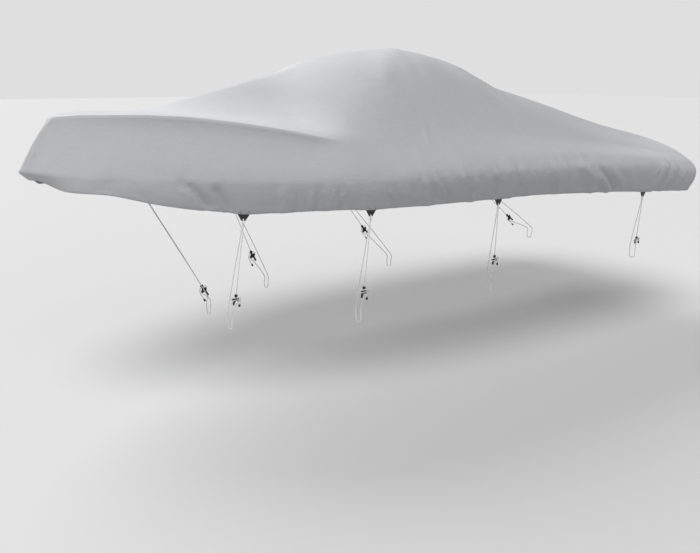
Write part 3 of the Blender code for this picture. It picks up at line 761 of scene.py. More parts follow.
@dataclass(frozen=True)
class ClothFinish:
    """Grey woven polyester, with painted light on the foredeck and painted shade on the top far aft."""

    dark: tuple[float, float, float] = (0.338, 0.345, 0.357)
    light: tuple[float, float, float] = (0.478, 0.487, 0.502)
    roughness: float = 0.72
    mottle_roughness: float = 0.10
    gloss: float = 0.22
    sheen: float = 0.08
    sheen_roughness: float = 0.45
    thread_pitch: float = 0.0011
    thread_depth: float = 0.00006
    pucker_depth: float = 0.0022
    fade_share: float = 0.34         # of the step from dark to light, as are the next three
    mottle_share: float = 0.22
    grain_share: float = 0.14
    weave_share: float = 0.05
    bleach: float = 0.32             # painted light: how much lighter the foredeck is
    grime: float = 0.44              # painted shade: how much darker the top is far aft
    rail_line: tuple[float, float] = (0.158, -0.740)    # its slope, and its height at x = 0
    deck_rise: tuple[float, float] = (0.005, 0.05)      # over the rail: painted light from, fully
    deck_run: tuple[float, float] = (0.75, 1.10)        # x from which, and where fully
    deck_top: tuple[float, float] = (-0.40, -0.28)      # z where it starts to end, is gone
    aft_run: tuple[float, float] = (0.25, 1.40)         # aft of x = 0: painted shade from, fully
    aft_rise: tuple[float, float] = (-0.84, -0.69)      # z from which, and where fully

    def wear(self, graph: Graph, spot: Socket) -> Socket:
        """Painted light that lightens the foredeck, and painted shade that darkens the top far aft.

        Args:
            graph: The material's nodes.
            spot: The place on the cover.

        Returns:
            What it adds to the share of the light colour.
        """
        x, _, z = graph.axes(spot)
        slope, start = self.rail_line
        above = z - (x * slope + start)
        deck = above.between(*self.deck_rise) * x.between(*self.deck_run)
        deck *= 1 - z.between(*self.deck_top)
        aft = (x * -1).between(*self.aft_run) * z.between(*self.aft_rise)
        return deck * self.bleach - aft * self.grime

    def build(self) -> bpy.types.Material:
        """The material, with its weave, puckers, uneven fading, painted light on the foredeck and painted shade far
        aft.
        """
        graph = Graph("woven_polyester")
        spot = graph.place("Object")
        drift = graph.place("Object", scale=(0.6, 1.0, 1.4))
        fade = graph.cloud(drift, scale=1.3, detail=4.0, roughness=0.55)
        mottle = graph.cloud(spot, scale=11.0, detail=5.0, roughness=0.62)
        grain = graph.cloud(spot, scale=140.0, detail=2.0, roughness=0.6)
        along, up, _ = graph.axes(graph.place("UV"))
        turn = 2 * math.pi / self.thread_pitch
        weave = (along * turn).sine() * (up * turn).sine()
        # The last term adds painted light on the foredeck and painted shade on the top far aft
        share = (0.5 + fade * self.fade_share + mottle * self.mottle_share
                 + grain * self.grain_share + weave * self.weave_share
                 + self.wear(graph, spot))
        creased = graph.place("Object", scale=(0.8, 1.0, 1.6))
        puckers = graph.cloud(creased, scale=26.0, detail=4.0, roughness=0.55)
        soft = graph.bump(puckers, self.pucker_depth)
        graph.set(Base_Color=graph.tint(self.dark, self.light, share),
                  Roughness=self.roughness + mottle * self.mottle_roughness,
                  Sheen_Weight=self.sheen, Sheen_Roughness=self.sheen_roughness,
                  Specular_IOR_Level=self.gloss,
                  Normal=graph.bump(weave, self.thread_depth, below=soft))
        return graph.material


@dataclass(frozen=True)
class WebbingFinish:
    """Black ribbed webbing."""

    dark: tuple[float, float, float] = (0.006, 0.006, 0.007)
    light: tuple[float, float, float] = (0.030, 0.030, 0.033)
    roughness: float = 0.72
    fuzz_roughness: float = 0.20
    sheen: float = 0.25
    rib_pitch: float = 0.0016
    rib_depth: float = 0.0003
    rib_share: float = 0.50          # of that depth, as are the next two
    yarn_share: float = 0.25
    fuzz_share: float = 0.40
    yarns_to_a_rib: float = 1.4
    waves_to_a_rib: float = 0.5
    wave: float = 0.8                # how far the ribs sway, in radians of their pitch

    def build(self) -> bpy.types.Material:
        """The material, with ribs across it and the twill of its yarns, and painted shade in the grooves between the
        ribs.
        """
        graph = Graph("ribbed_webbing")
        along, up, _ = graph.axes(graph.place("UV"))
        turn = 2 * math.pi / self.rib_pitch
        sway = (along * turn * self.waves_to_a_rib).sine() * self.wave
        ribs = (up * turn + sway).sine()
        yarns = (along * turn * self.yarns_to_a_rib).sine()
        fuzz = graph.cloud(graph.place("Object"), scale=900.0, detail=2.0)
        # Painted shade and light: the grooves between the ribs are darker and their crests lighter; the fuzz is the
        # webbing's own tone
        height = ribs * self.rib_share + yarns * self.yarn_share + fuzz * self.fuzz_share
        graph.set(Base_Color=graph.tint(self.dark, self.light, 0.5 + height * 0.5),
                  Roughness=self.roughness + fuzz * self.fuzz_roughness,
                  Sheen_Weight=self.sheen, Normal=graph.bump(height, self.rib_depth))
        return graph.material


@dataclass(frozen=True)
class CordFinish:
    """White braided cord."""

    dark: tuple[float, float, float] = (0.74, 0.74, 0.73)
    light: tuple[float, float, float] = (0.96, 0.96, 0.95)
    roughness: float = 0.75
    fuzz_roughness: float = 0.20
    sheen: float = 0.10
    plait_pitch: float = 0.0075
    strands: int = 4
    plait_depth: float = 0.0005
    plait_shade: tuple[float, float] = (0.25, 0.95)     # its height where dark, where light: painted shade in the grooves between strands
    fuzz_share: float = 0.20         # of the step from dark to light, as is the next
    soil_share: float = 0.25
    fuzz_height: float = 0.30        # in units of plait_depth

    def build(self) -> bpy.types.Material:
        """The material, with strands that cross each other round the cord, and painted shade in the grooves between
        them.
        """
        graph = Graph("braided_cord")
        along, around, _ = graph.axes(graph.place("UV"))
        lengthwise = along * (2 * math.pi / self.plait_pitch)
        sideways = around * (2 * math.pi * self.strands)
        left = (lengthwise + sideways).sine()
        right = (lengthwise - sideways).sine()
        plait = left.magnitude().most(right.magnitude())
        fuzz = graph.cloud(graph.place("Object"), scale=700.0, detail=2.0)
        soil = graph.cloud(graph.place("Object"), scale=14.0, detail=3.0)
        # Painted shade: the grooves between the strands are darker; the fuzz and soil are the cord's own tone
        share = plait.between(*self.plait_shade) + fuzz * self.fuzz_share + soil * self.soil_share
        graph.set(Base_Color=graph.tint(self.dark, self.light, share),
                  Roughness=self.roughness + fuzz * self.fuzz_roughness,
                  Sheen_Weight=self.sheen,
                  Normal=graph.bump(plait + fuzz * self.fuzz_height, self.plait_depth))
        return graph.material


@dataclass(frozen=True)
class PlasticFinish:
    """Black moulded plastic, a little scuffed."""

    dark: tuple[float, float, float] = (0.010, 0.010, 0.011)
    light: tuple[float, float, float] = (0.035, 0.035, 0.037)
    roughness: float = 0.42
    scuff_roughness: float = 0.35
    scuff_shade: tuple[float, float] = (-0.05, 0.30)    # the noise where dark, where light
    grain_depth: float = 0.00008

    def build(self) -> bpy.types.Material:
        """The material, with a fine moulded grain and scuffs."""
        graph = Graph("moulded_plastic")
        grain = graph.cloud(graph.place("Object"), scale=1500.0, detail=2.0)
        streaked = graph.place("Object", scale=(1.0, 1.0, 5.0))
        scuffs = graph.cloud(streaked, scale=160.0, detail=4.0, roughness=0.7)
        share = scuffs.between(*self.scuff_shade)
        graph.set(Base_Color=graph.tint(self.dark, self.light, share),
                  Roughness=self.roughness + scuffs * self.scuff_roughness,
                  Normal=graph.bump(grain, self.grain_depth))
        return graph.material


@dataclass(frozen=True)
class ThreadFinish:
    """Grey twisted sewing thread."""

    color: tuple[float, float, float] = (0.36, 0.37, 0.385)
    shade: float = 0.7               # of the colour that is left between the twists
    roughness: float = 0.65
    twist_roughness: float = 0.10

    def build(self) -> bpy.types.Material:
        """The material, darker between its twists."""
        graph = Graph("grey_thread")
        twist = graph.cloud(graph.place("Object"), scale=2500.0, detail=1.0)
        dark = tuple(self.shade * c for c in self.color)
        graph.set(Base_Color=graph.tint(dark, self.color, 0.5 + twist),
                  Roughness=self.roughness + twist * self.twist_roughness)
        return graph.material


@dataclass(frozen=True)
class FloorFinish:
    """The pale floor."""

    color: tuple[float, float, float] = (0.50, 0.50, 0.50)
    roughness: float = 0.9
    gloss: float = 0.1

    def build(self) -> bpy.types.Material:
        """The material."""
        graph = Graph("pale_floor")
        graph.set(Base_Color=(*self.color, 1.0), Roughness=self.roughness,
                  Specular_IOR_Level=self.gloss)
        return graph.material


# ---------------------------------------------------------------- pieces

def add_piece(name: str, mesh: bmesh.types.BMesh, material: bpy.types.Material,
              slot: Slot | None, smooth: bool = True) -> bpy.types.Object:
    """Put a finished shape in the scene, as a piece that rides on the cover or as the stage.

    Args:
        name: The piece's name.
        mesh: Its shape, which is freed.
        material: Its finish.
        slot: The record's slot for that finish, or None for the stage.
        smooth: Whether its faces are shaded smooth.

    Returns:
        The piece.
    """
    data = bpy.data.meshes.new(name)
    mesh.to_mesh(data)
    mesh.free()
    data.materials.append(material)
    for polygon in data.polygons:
        polygon.use_smooth = smooth
    piece = bpy.data.objects.new(name, data)
    bpy.context.scene.collection.objects.link(piece)
    if slot is None:
        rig.stage(piece)
    else:
        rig.ride(piece, BODY)
        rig.slot(piece, slot.value)
    LOG.info("%s: %d faces", name, len(data.polygons))
    return piece


def add_grid(mesh: bmesh.types.BMesh, columns: int, rows: int,
             place: Callable[[int, int], Vector],
             flat: Callable[[int, int], tuple[float, float]]) -> list[bmesh.types.BMVert]:
    """Add a grid of quads, and lay each of its points where it belongs.

    Args:
        mesh: What it is added to.
        columns: How many faces it has one way.
        rows: How many it has the other way.
        place: Gives the place of the point in a column and a row.
        flat: Gives that point's UV.

    Returns:
        The grid's points.
    """
    uv = mesh.loops.layers.uv.verify()
    grid = bmesh.ops.create_grid(mesh, x_segments=columns, y_segments=rows, size=0.5)
    spots = {vert: (round((vert.co.x + 0.5) * columns), round((vert.co.y + 0.5) * rows))
             for vert in grid["verts"]}
    faces = {face for vert in grid["verts"] for face in vert.link_faces}
    for face in faces:
        for loop in face.loops:
            loop[uv].uv = flat(*spots[loop.vert])
    for vert, spot in spots.items():
        vert.co = place(*spot)
    return grid["verts"]


def weld(mesh: bmesh.types.BMesh) -> None:
    """Join the points that lie on each other, and turn the faces outwards."""
    bmesh.ops.remove_doubles(mesh, verts=mesh.verts, dist=MERGE)
    bmesh.ops.recalc_face_normals(mesh, faces=mesh.faces)


def thicken(piece: bpy.types.Object, name: str, thickness: float) -> None:
    """Give a sheet its thickness, on its inner side."""
    wall = piece.modifiers.new(name, "SOLIDIFY")
    wall.thickness = thickness
    wall.offset = -1
    wall.use_even_offset = True


def turned(profile: Sequence[tuple[float, float]], steps: int,
           closed: bool = False) -> bmesh.types.BMesh:
    """A shape turned about the third axis.

    Args:
        profile: Points of its outline, each a radius and a height.
        steps: How many faces go round it.
        closed: Whether the outline's end joins its start.

    Returns:
        The shape.
    """
    mesh = bmesh.new()
    chain = [mesh.verts.new((radius, 0.0, height)) for radius, height in profile]
    after = chain[1:] + chain[:1] if closed else chain[1:]
    edges = [mesh.edges.new(pair) for pair in zip(chain, after)]
    bmesh.ops.spin(mesh, geom=chain + edges, cent=(0, 0, 0), axis=(0, 0, 1),
                   angle=2 * math.pi, steps=steps, use_merge=True)
    weld(mesh)
    return mesh


def add_tube(mesh: bmesh.types.BMesh, points: Sequence[Vector], radius: float,
             sides: int, closed: bool = False) -> None:
    """Add a round tube along a line of points.

    Args:
        mesh: What it is added to.
        points: The tube's middle line.
        radius: The tube's radius.
        sides: How many faces go round it.
        closed: Whether the line's end joins its start; otherwise the tube has flat ends.
    """
    line = [*points, points[0]] if closed else list(points)
    reach = reaches(line)
    ways = []
    for i, point in enumerate(line):
        before = line[i - 1] if i else (line[-2] if closed else point)
        after = line[i + 1] if i + 1 < len(line) else (line[1] if closed else point)
        ways.append((after - before).normalized())
    side = ways[0].orthogonal().normalized()
    frames = []
    for way in ways:
        side = (side - way * side.dot(way)).normalized()
        frames.append((side, way.cross(side)))

    def place(column: int, row: int) -> Vector:
        """A point of the tube's wall."""
        angle = 2 * math.pi * row / sides
        first, second = frames[column]
        return line[column] + radius * (first * math.cos(angle) + second * math.sin(angle))

    def flat(column: int, row: int) -> tuple[float, float]:
        """Its distance along the tube, and how far round it lies."""
        return reach[column], row / sides

    verts = add_grid(mesh, len(line) - 1, sides, place, flat)
    bmesh.ops.remove_doubles(mesh, verts=verts, dist=MERGE)
    if not closed:
        rims = [edge for edge in mesh.edges if edge.is_boundary]
        bmesh.ops.holes_fill(mesh, edges=rims, sides=sides)


def placing(origin: Vector, ways: Sequence[Vector]) -> Matrix:
    """A matrix that moves a shape drawn along, up and out to its place."""
    return Matrix.Translation(origin) @ Matrix(ways).transposed().to_4x4()


# ---------------------------------------------------------------- the cover

@dataclass(eq=False)
class CoverForm:
    """The form in which the cloth hangs. All its sizes are in metres."""

    sections: tuple[Section, ...] = SECTIONS
    peak_height: float = 2.208       # underside of the highest point, above the ground
    cloth: float = 0.002             # thickness
    rail_crisp: Ramp = Ramp(0.90, 0.40)     # x where the rail shows as a sharp edge
    rail_hang: float = 0.60          # how far the cloth turns in, under a sharp rail
    hem_flare: float = 0.25          # how far the cloth leaves the hem outwards of its chord
    beam_crisp: float = 0.15
    beam_soft: Ramp = Ramp(1.75, 0.40)      # x where the gunwale's fold is lost
    skirt_rise: float = 0.17         # height of cloth that a unit of v stands for on the skirt
    top_rise: float = 0.40           # and on the top
    ridge_crisp: float = 0.75        # away from the cabin's top, where its frame rounds it
    cabin_top: tuple[float, float, float] = (0.15, 0.35, 0.50)   # its middle, half length, fade
    nose_bulge: float = 0.034
    nose_shoulder: float = 0.45      # share of its height in which it reaches that
    nose_tuck: float = 0.050
    nose_tuck_reach: float = 0.30
    stern_round: float = 0.060
    stern_tuck: float = 0.035
    tab_plane: float = 0.045         # half the length of hem that lies flat at a tab
    tab_pull: float = 0.006
    tab_pull_reach: float = 0.16
    tab_height: float = 1 / 3        # v by which the slope of that flat hem is told
    tab_free: Ramp = Ramp(0.50, 0.50)       # v over a tab where the cloth may fold
    hem_end: Ramp = Ramp(0.16, 0.03)        # v where the hem's fold ends
    hem_rise: float = 0.0008         # its extra thickness
    skirt_end: Ramp = Ramp(0.85, 0.50)      # v where the skirt's looseness ends
    bow_start: Ramp = Ramp(1.60, 0.50)      # x where the bow's own ripple is added
    hem_calm: float = 0.35           # share of the ripples that is left at the hem
    calm_end: Ramp = Ramp(0.0, 0.35)        # v where the ripples are whole again
    top_loose: float = 0.55          # share of the ripples on the top
    skirt_loose: float = 0.75        # how much more of them the skirt has
    slopes: list[list[float]] = field(init=False)
    nearby: dict[Side, dict[int, list[Fold]]] = field(init=False)

    BIN = 0.1                        # folds are looked up by stretches of this length
    SPREAD = 2.2                     # how many of its widths from its line a fold shows
    SLACK = 0.30                     # but not farther than this beyond its ends on the skirt
    TOP_SLACK = 0.60                 # how far beyond its ends a fold of the top may show
    FALL = 4.0                       # how steeply a fold falls off beside its line
    DIP_PLACE = 0.85                 # how many widths from that line its dip lies
    DIP_FALL = 6.0

    def __post_init__(self) -> None:
        """Work out the table's slopes, and which folds each stretch of the boat needs."""
        xs = [row.x for row in self.sections]
        self.slopes = [column_slopes(xs, column) for column in zip(*self.sections)]
        self.nearby = {side: {} for side in Side}
        for side in Side:
            for fold in MAIN_FOLDS[side] + CREASES[side]:
                low, high = sorted((fold.x_low, fold.x_high))
                on_skirt = fold.v_high < RAIL
                reach = min(self.SLACK, self.SPREAD * fold.width) if on_skirt else self.TOP_SLACK
                for stretch in range(math.floor((low - reach) / self.BIN),
                                     math.floor((high + reach) / self.BIN) + 1):
                    self.nearby[side].setdefault(stretch, []).append(fold)

    @cache
    def section_at(self, x: float) -> Section:
        """The cover's section where it meets the gunwale at x."""
        rows = self.sections
        x = max(rows[-1].x, min(rows[0].x, x))
        row = next(i for i in range(len(rows) - 1) if x >= rows[i + 1].x)
        span = rows[row + 1].x - rows[row].x
        t = (x - rows[row].x) / span
        return Section(*(
            hermite(a, b, slopes[row] * span, slopes[row + 1] * span, t)
            for a, b, slopes in zip(rows[row], rows[row + 1], self.slopes)
        ))

    @cache
    def spans(self, x: float) -> tuple[tuple[Vector, Vector, Vector, Vector], ...]:
        """The four cubics of the section at x: two ends and two slopes for each."""
        section = self.section_at(x)
        knots = [
            Vector((section.hem_y, section.hem_z)),
            Vector((section.beam_y, section.beam_z)),
            Vector((section.rail_y, section.rail_z)),
            Vector((section.roof_y, section.roof_z)),
            Vector((0.0, section.ridge)),
        ]
        chords = [b - a for a, b in zip(knots, knots[1:])]
        beam = self.beam_crisp * (1 - self.beam_soft.at(section.x))
        crisp = {BEAM: beam, RAIL: self.rail_crisp.at(section.x), ROOF: 0.0}
        middle, reach, fade = self.cabin_top
        tent = self.ridge_crisp * smooth_step((abs(section.x - middle) - reach) / fade)

        def slope(knot: int, chord: Vector) -> Vector:
            """Direction of the curve at a knot, as the given chord reaches or leaves it."""
            own = chord.normalized()
            if knot == HEM:
                return Vector((own.x + self.hem_flare, own.y)).normalized()
            if knot == RIDGE:
                return Vector((-1.0, 0.0)).lerp(own, tent).normalized()
            shared = (chords[knot - 1].normalized() + chords[knot].normalized()).normalized()
            if knot == RAIL and chord is chords[BEAM]:
                own = Vector((own.x + self.rail_hang, own.y)).normalized()
            return shared.lerp(own, crisp[knot]).normalized()

        return tuple((knots[i], knots[i + 1], slope(i, chord) * chord.length,
                      slope(i + 1, chord) * chord.length) for i, chord in enumerate(chords))

    @cache
    def from_tab(self, x: float) -> float:
        """How far x is from the nearest tab."""
        return min(abs(x - tie.tab_x) for tie in PORT_TIES)

    def base_point(self, x: float, v: float, turn: float = 0.0) -> Vector:
        """A point of the cover's port half with no folds.

        Args:
            x: Where the section meets the gunwale.
            v: How far up the section it is, from the hem at 0 to the ridge at 4.
            turn: How far it is round the edge of the stern, in radians.

        Returns:
            The point.
        """
        section = self.section_at(x)
        span = min(int(v), ROOF)
        y, height = hermite(*self.spans(x)[span], v - span)
        top = max(0.0, min(1.0, v - BEAM))
        inset = self.stern_round * (1 - math.cos(turn))
        along = x - section.set_back * top - self.stern_round * math.sin(turn)
        bow = self.sections[0].x
        along -= (self.nose_tuck * max(0.0, BEAM - v)
                  * smooth_step(1 - (bow - x) / self.nose_tuck_reach))
        y *= 1 - inset / section.beam_y
        height -= inset * smooth_step((v - BEAM) / (ROOF - BEAM))
        pull = smooth_step(1 - self.from_tab(x) / self.tab_pull_reach)
        height -= self.tab_pull * pull * max(0.0, BEAM - v)
        return Vector((along, y, height - self.peak_height))

    def fold_height(self, side: Side, x: float, v: float) -> float:
        """How far the folds lift the cloth at a place, along its normal."""
        total = 0.0
        for fold in self.nearby[side].get(math.floor(x / self.BIN), ()):
            rise = self.skirt_rise if fold.v_high < RAIL else self.top_rise
            run, climb = fold.x_high - fold.x_low, (fold.v_high - fold.v_low) * rise
            here_x, here_v = x - fold.x_low, v * rise - fold.v_low * rise
            length = run * run + climb * climb
            along = max(0.0, min(1.0, (here_x * run + here_v * climb) / length))
            away = math.hypot(here_x - run * along, here_v - climb * along) / fold.width
            total += fold.height * math.exp(-self.FALL * away * away)
            if fold.follow:
                beside = math.copysign(self.DIP_PLACE, fold.follow)
                across = (here_x * climb - here_v * run) / math.sqrt(length) / fold.width
                beyond = away * away - min(away * away, across * across)
                ends = math.exp(-self.FALL * beyond)
                dip = math.exp(-self.DIP_FALL * (across + beside) ** 2) * ends
                total -= abs(fold.follow) * fold.height * dip
        return total

    def held(self, x: float, v: float) -> float:
        """How free the cloth is to fold at a place: 0 where a tab holds the hem flat."""
        if v >= BEAM:
            return 1.0
        free = smooth_step((self.from_tab(x) - self.tab_plane) / self.tab_plane)
        return free + (1 - free) * self.tab_free.at(v)

    def relief(self, side: Side, x: float, v: float, point: Vector) -> float:
        """How far the cloth stands out from its plain form.

        Args:
            side: The side of the boat.
            x: Where the section meets the gunwale.
            v: How far up the section it is.
            point: Where it is on the plain form.

        Returns:
            The height of its folds and of its small unevenness, along its normal.
        """
        skirt = 1 - self.skirt_end.at(v)
        at_bow = BOW_RIPPLE.at(point) * skirt * self.bow_start.at(x)
        ripples = sum(ripple.at(point) for ripple in RIPPLES) + at_bow
        whole = self.hem_calm + (1 - self.hem_calm) * self.calm_end.at(v)
        loose = ripples * (self.top_loose + self.skirt_loose * skirt) * whole
        hem = self.hem_rise * (1 - self.hem_end.at(v))
        return (self.fold_height(side, x, v) + loose) * self.held(x, v) + hem

    def hem_frame(self, tie: Tie, side: Side) -> tuple[Vector, tuple[Vector, ...]]:
        """The flat stretch of hem at a tab.

        Args:
            tie: The tab's tie.
            side: Its side of the boat.

        Returns:
            The middle of the stretch, and the ways along it, up and out. These are
            right-handed, so along is to the right as seen from beside the boat.
        """
        xs = [tie.tab_x + side.value * way * self.tab_plane for way in (1, -1)]
        low, high = ([on_side(self.base_point(x, v), side) for x in xs]
                     for v in (HEM, self.tab_height))
        along = (low[1] - low[0]).normalized()
        rise = high[0] + high[1] - low[0] - low[1]
        out = along.cross(rise).normalized()
        return (low[0] + low[1]) / 2, (along, out.cross(along), out)


@dataclass
class Cover:
    """The cover's cloth, with its hem, its seams' thread and its creases."""

    form: CoverForm
    columns: int = 318               # faces from bow to stern
    stern_columns: int = 6           # faces round the stern's edge
    stern_square: int = 4            # how near the stern panel's sides its tuck fades out
    nose_grain: float = 0.001        # of the weave, on each of the nose's faces
    skirt_places: tuple[float, ...] = (0.0, 0.06, 0.12, 0.17, 0.20, 0.28, 0.37, 0.46, 0.55,
                                       0.64, 0.73, 0.82, 0.91)
    side_rows: int = 17
    shoulder_rows: int = 21
    top_rows: int = 12
    flat: tuple[float, float] = (3.40, 6.10)           # the sheet before it is sewn to shape
    flat_area: float = 16.1                            # what is left of it, in square metres
    stitch_pitch: float = 0.0065
    stitch_half: tuple[float, float, float] = (0.0023, 0.0005, 0.0004)
    stitch_rows: tuple[float, ...] = (0.035, 0.135)    # up the skirt, in units of v
    tack_spots: tuple[float, ...] = (-0.022, 0.022)    # beside each tab's middle
    tack_half: tuple[float, float, float] = (0.0016, 0.0065, 0.0007)
    tack_bars: int = 6
    tack_step: float = 1.6                             # from bar to bar, in half widths
    tack_height: float = 0.075                         # up the skirt, in units of v
    surface: BVHTree = field(init=False)
    bead: bmesh.types.BMesh = field(default_factory=bmesh.new)

    def __post_init__(self) -> None:
        """Draw the bead of thread that all the stitches repeat."""
        bmesh.ops.create_icosphere(self.bead, subdivisions=1, radius=1.0)
        self.bead.verts.index_update()

    def places(self) -> list[float]:
        """How far up half a section each row of points is."""
        spans = ((BEAM, self.side_rows), (RAIL, self.shoulder_rows), (ROOF, self.top_rows))
        upper = [low + i / count for low, count in spans for i in range(count)]
        return [*self.skirt_places, *upper, float(RIDGE)]

    def stations(self) -> list[tuple[float, float]]:
        """Where along the boat each column of points is, and its turn round the stern."""
        first, last = self.form.sections[0].x, self.form.sections[-1].x
        xs = [first + (last - first) * i / self.columns for i in range(self.columns + 1)]
        turns = [math.pi / 2 * i / self.stern_columns for i in range(1, self.stern_columns + 1)]
        return [(x, 0.0) for x in xs] + [(last, turn) for turn in turns]

    def build(self, material: bpy.types.Material) -> bpy.types.Object:
        """Make the cloth.

        Args:
            material: Its finish.

        Returns:
            The cloth's piece.
        """
        mesh = bmesh.new()
        heights = self.places()
        ladder = heights + heights[-2::-1]
        stations = self.stations()
        points = []
        for x, turn in stations:
            half = [self.form.base_point(x, v, turn) for v in heights]
            other = [on_side(point, Side.STARBOARD) for point in half[-2::-1]]
            points.append(half + other)
        reach = [reaches(line) for line in points]
        x_layer = mesh.verts.layers.float.new("x")
        v_layer = mesh.verts.layers.float.new("v")

        def mark(verts: Iterable[bmesh.types.BMVert],
                 spot: Callable[[bmesh.types.BMVert], tuple[float, float]]) -> None:
            """Note where on the form each point is."""
            for vert in verts:
                vert[x_layer], vert[v_layer] = spot(vert)

        marks = {}

        def hull(column: int, row: int) -> Vector:
            """A point of the long sheet, from one hem over to the other."""
            point = points[column][row]
            marks[point.to_tuple(DECIMALS)] = (stations[column][0], ladder[row])
            return point

        verts = add_grid(mesh, len(stations) - 1, len(ladder) - 1, hull,
                         lambda column, row: (-points[column][0].x, reach[column][row]))
        mark(verts, lambda vert: marks[vert.co.to_tuple(DECIMALS)])
        self.add_nose(mesh, points[0], heights, mark)
        self.add_stern(mesh, points[-1], heights, mark)
        weld(mesh)
        peak = max(mesh.faces, key=lambda face: face.calc_center_median().z)
        if peak.normal.z < 0:
            bmesh.ops.reverse_faces(mesh, faces=mesh.faces)
        mesh.normal_update()
        for vert in mesh.verts:
            side = Side.PORT if vert.co.y >= 0 else Side.STARBOARD
            lift = self.form.relief(side, vert[x_layer], vert[v_layer], vert.co)
            vert.co += vert.normal * lift
        piece = add_piece("draped_cover", mesh, material, Slot.CLOTH)
        thicken(piece, "Cloth", self.form.cloth)
        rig.replaces(piece, "cover_cloth")
        self.surface = BVHTree.FromPolygons(
            [vert.co for vert in piece.data.vertices],
            [polygon.vertices for polygon in piece.data.polygons])
        return piece

    def hem_line(self, v: float) -> list[Vector]:
        """A line round the skirt, from the bow aft, across the stern and forward again."""
        side = [self.form.base_point(x, v, turn) for x, turn in self.stations()]
        other = [on_side(point, Side.STARBOARD) for point in reversed(side)]
        return side + other + side[:1]

    def add_stitch(self, mesh: bmesh.types.BMesh, spot: Vector, way: Vector,
                   half: Sequence[float]) -> None:
        """Lay one bead of thread on the cloth.

        Args:
            mesh: What it is added to.
            spot: A place near the cloth's outer face.
            way: The way along the seam.
            half: Half its length, its width and its thickness.
        """
        centre, out, _, _ = self.surface.find_nearest(spot)
        along = (way - out * way.dot(out)).normalized()
        ways = [axis * size for axis, size in zip((along, out.cross(along), out), half)]
        pose = placing(centre, ways)
        verts = [mesh.verts.new(pose @ vert.co) for vert in self.bead.verts]
        for face in self.bead.faces:
            mesh.faces.new([verts[vert.index] for vert in face.verts])

    def build_seams(self, material: bpy.types.Material) -> None:
        """Sew the hem with two rows of stitches.

        Args:
            material: The thread.
        """
        mesh = bmesh.new()
        for v in self.stitch_rows:
            line = self.hem_line(v)
            left = 0.0
            for a, b in zip(line, line[1:]):
                step = b - a
                while left < step.length:
                    self.add_stitch(mesh, a + step.normalized() * left, step, self.stitch_half)
                    left += self.stitch_pitch
                left -= step.length
        add_piece("hem_seams", mesh, material, Slot.CLOTH)

    def build_tacks(self, material: bpy.types.Material) -> None:
        """Sew each tab to the hem with short bars of thread.

        Args:
            material: The thread.
        """
        mesh = bmesh.new()
        for side in Side:
            for tie in TIES[side]:
                _, ways = self.form.hem_frame(tie, side)
                for beside in self.tack_spots:
                    for i in range(self.tack_bars):
                        shift = (i - self.tack_bars / 2) * self.tack_half[0] * self.tack_step
                        x = tie.tab_x + beside + shift
                        spot = on_side(self.form.base_point(x, self.tack_height), side)
                        self.add_stitch(mesh, spot, ways[0], self.tack_half)
        add_piece("tab_tacks", mesh, material, Slot.CLOTH)

    def add_nose(self, mesh: bmesh.types.BMesh, first: Sequence[Vector],
                 heights: Sequence[float], mark: Callable) -> None:
        """Close the first section below the rail, rounded forward.

        Args:
            mesh: What the nose is added to.
            first: The first section's points, from hem to hem.
            heights: How far up each of half of them is.
            mark: Notes where on the form points are.
        """
        rail = heights.index(float(RAIL))
        count = len(first) - 1 - 2 * rail
        bow = self.form.sections[0].x

        def place(column: int, row: int) -> Vector:
            """A point of the nose, from the port edge across, and from the hem up."""
            edge = first[row]
            if row == rail:
                return first[rail + column]
            s = 1 - 2 * column / count
            drop = min(1.0, (1 - heights[row] / RAIL) / self.form.nose_shoulder)
            bulge = self.form.nose_bulge * math.sin(drop * math.pi / 2)
            return Vector((edge.x + bulge * (1 - s * s), edge.y * s, edge.z))

        verts = add_grid(mesh, count, rail, place,
                         lambda column, row: (-bow - self.nose_grain * column, first[row].z))
        low, high = first[0].z, first[rail].z
        mark(verts, lambda vert: (bow, RAIL * (vert.co.z - low) / (high - low)))

    def add_stern(self, mesh: bmesh.types.BMesh, last: Sequence[Vector],
                  heights: Sequence[float], mark: Callable) -> None:
        """Hang a panel from the last section, between its two beams.

        Args:
            mesh: What the panel is added to.
            last: The points round the stern's edge, from hem to hem.
            heights: How far up each of half of them is.
            mark: Notes where on the form points are.
        """
        beam = heights.index(float(BEAM))
        count = len(last) - 1 - 2 * beam
        corner, hem = last[beam], last[0]

        def place(column: int, row: int) -> Vector:
            """A point of the panel, from port to starboard, and from its top edge down."""
            top, edge = last[beam + column], last[beam - row]
            if column in (0, count):
                return last[beam - row] if column == 0 else last[beam + count + row]
            drop = 1 - heights[beam - row]
            inner = 1 - (abs(top.y) / corner.y) ** self.stern_square
            plain = corner.z + (hem.z - corner.z) * drop
            z = top.z + (hem.z - top.z) * drop + edge.z - plain
            tuck = self.form.stern_tuck * drop * drop * inner
            shift = (edge.x - corner.x) * (1 - inner)
            return Vector((top.x + tuck + shift, top.y * edge.y / corner.y, z))

        verts = add_grid(mesh, count, beam, place,
                         lambda column, row: (last[beam + column].y, last[beam - row].z))
        stern = self.form.sections[-1].x
        mark(verts, lambda vert: (stern, (vert.co.z - hem.z) / (corner.z - hem.z)))


# ---------------------------------------------------------------- the ties

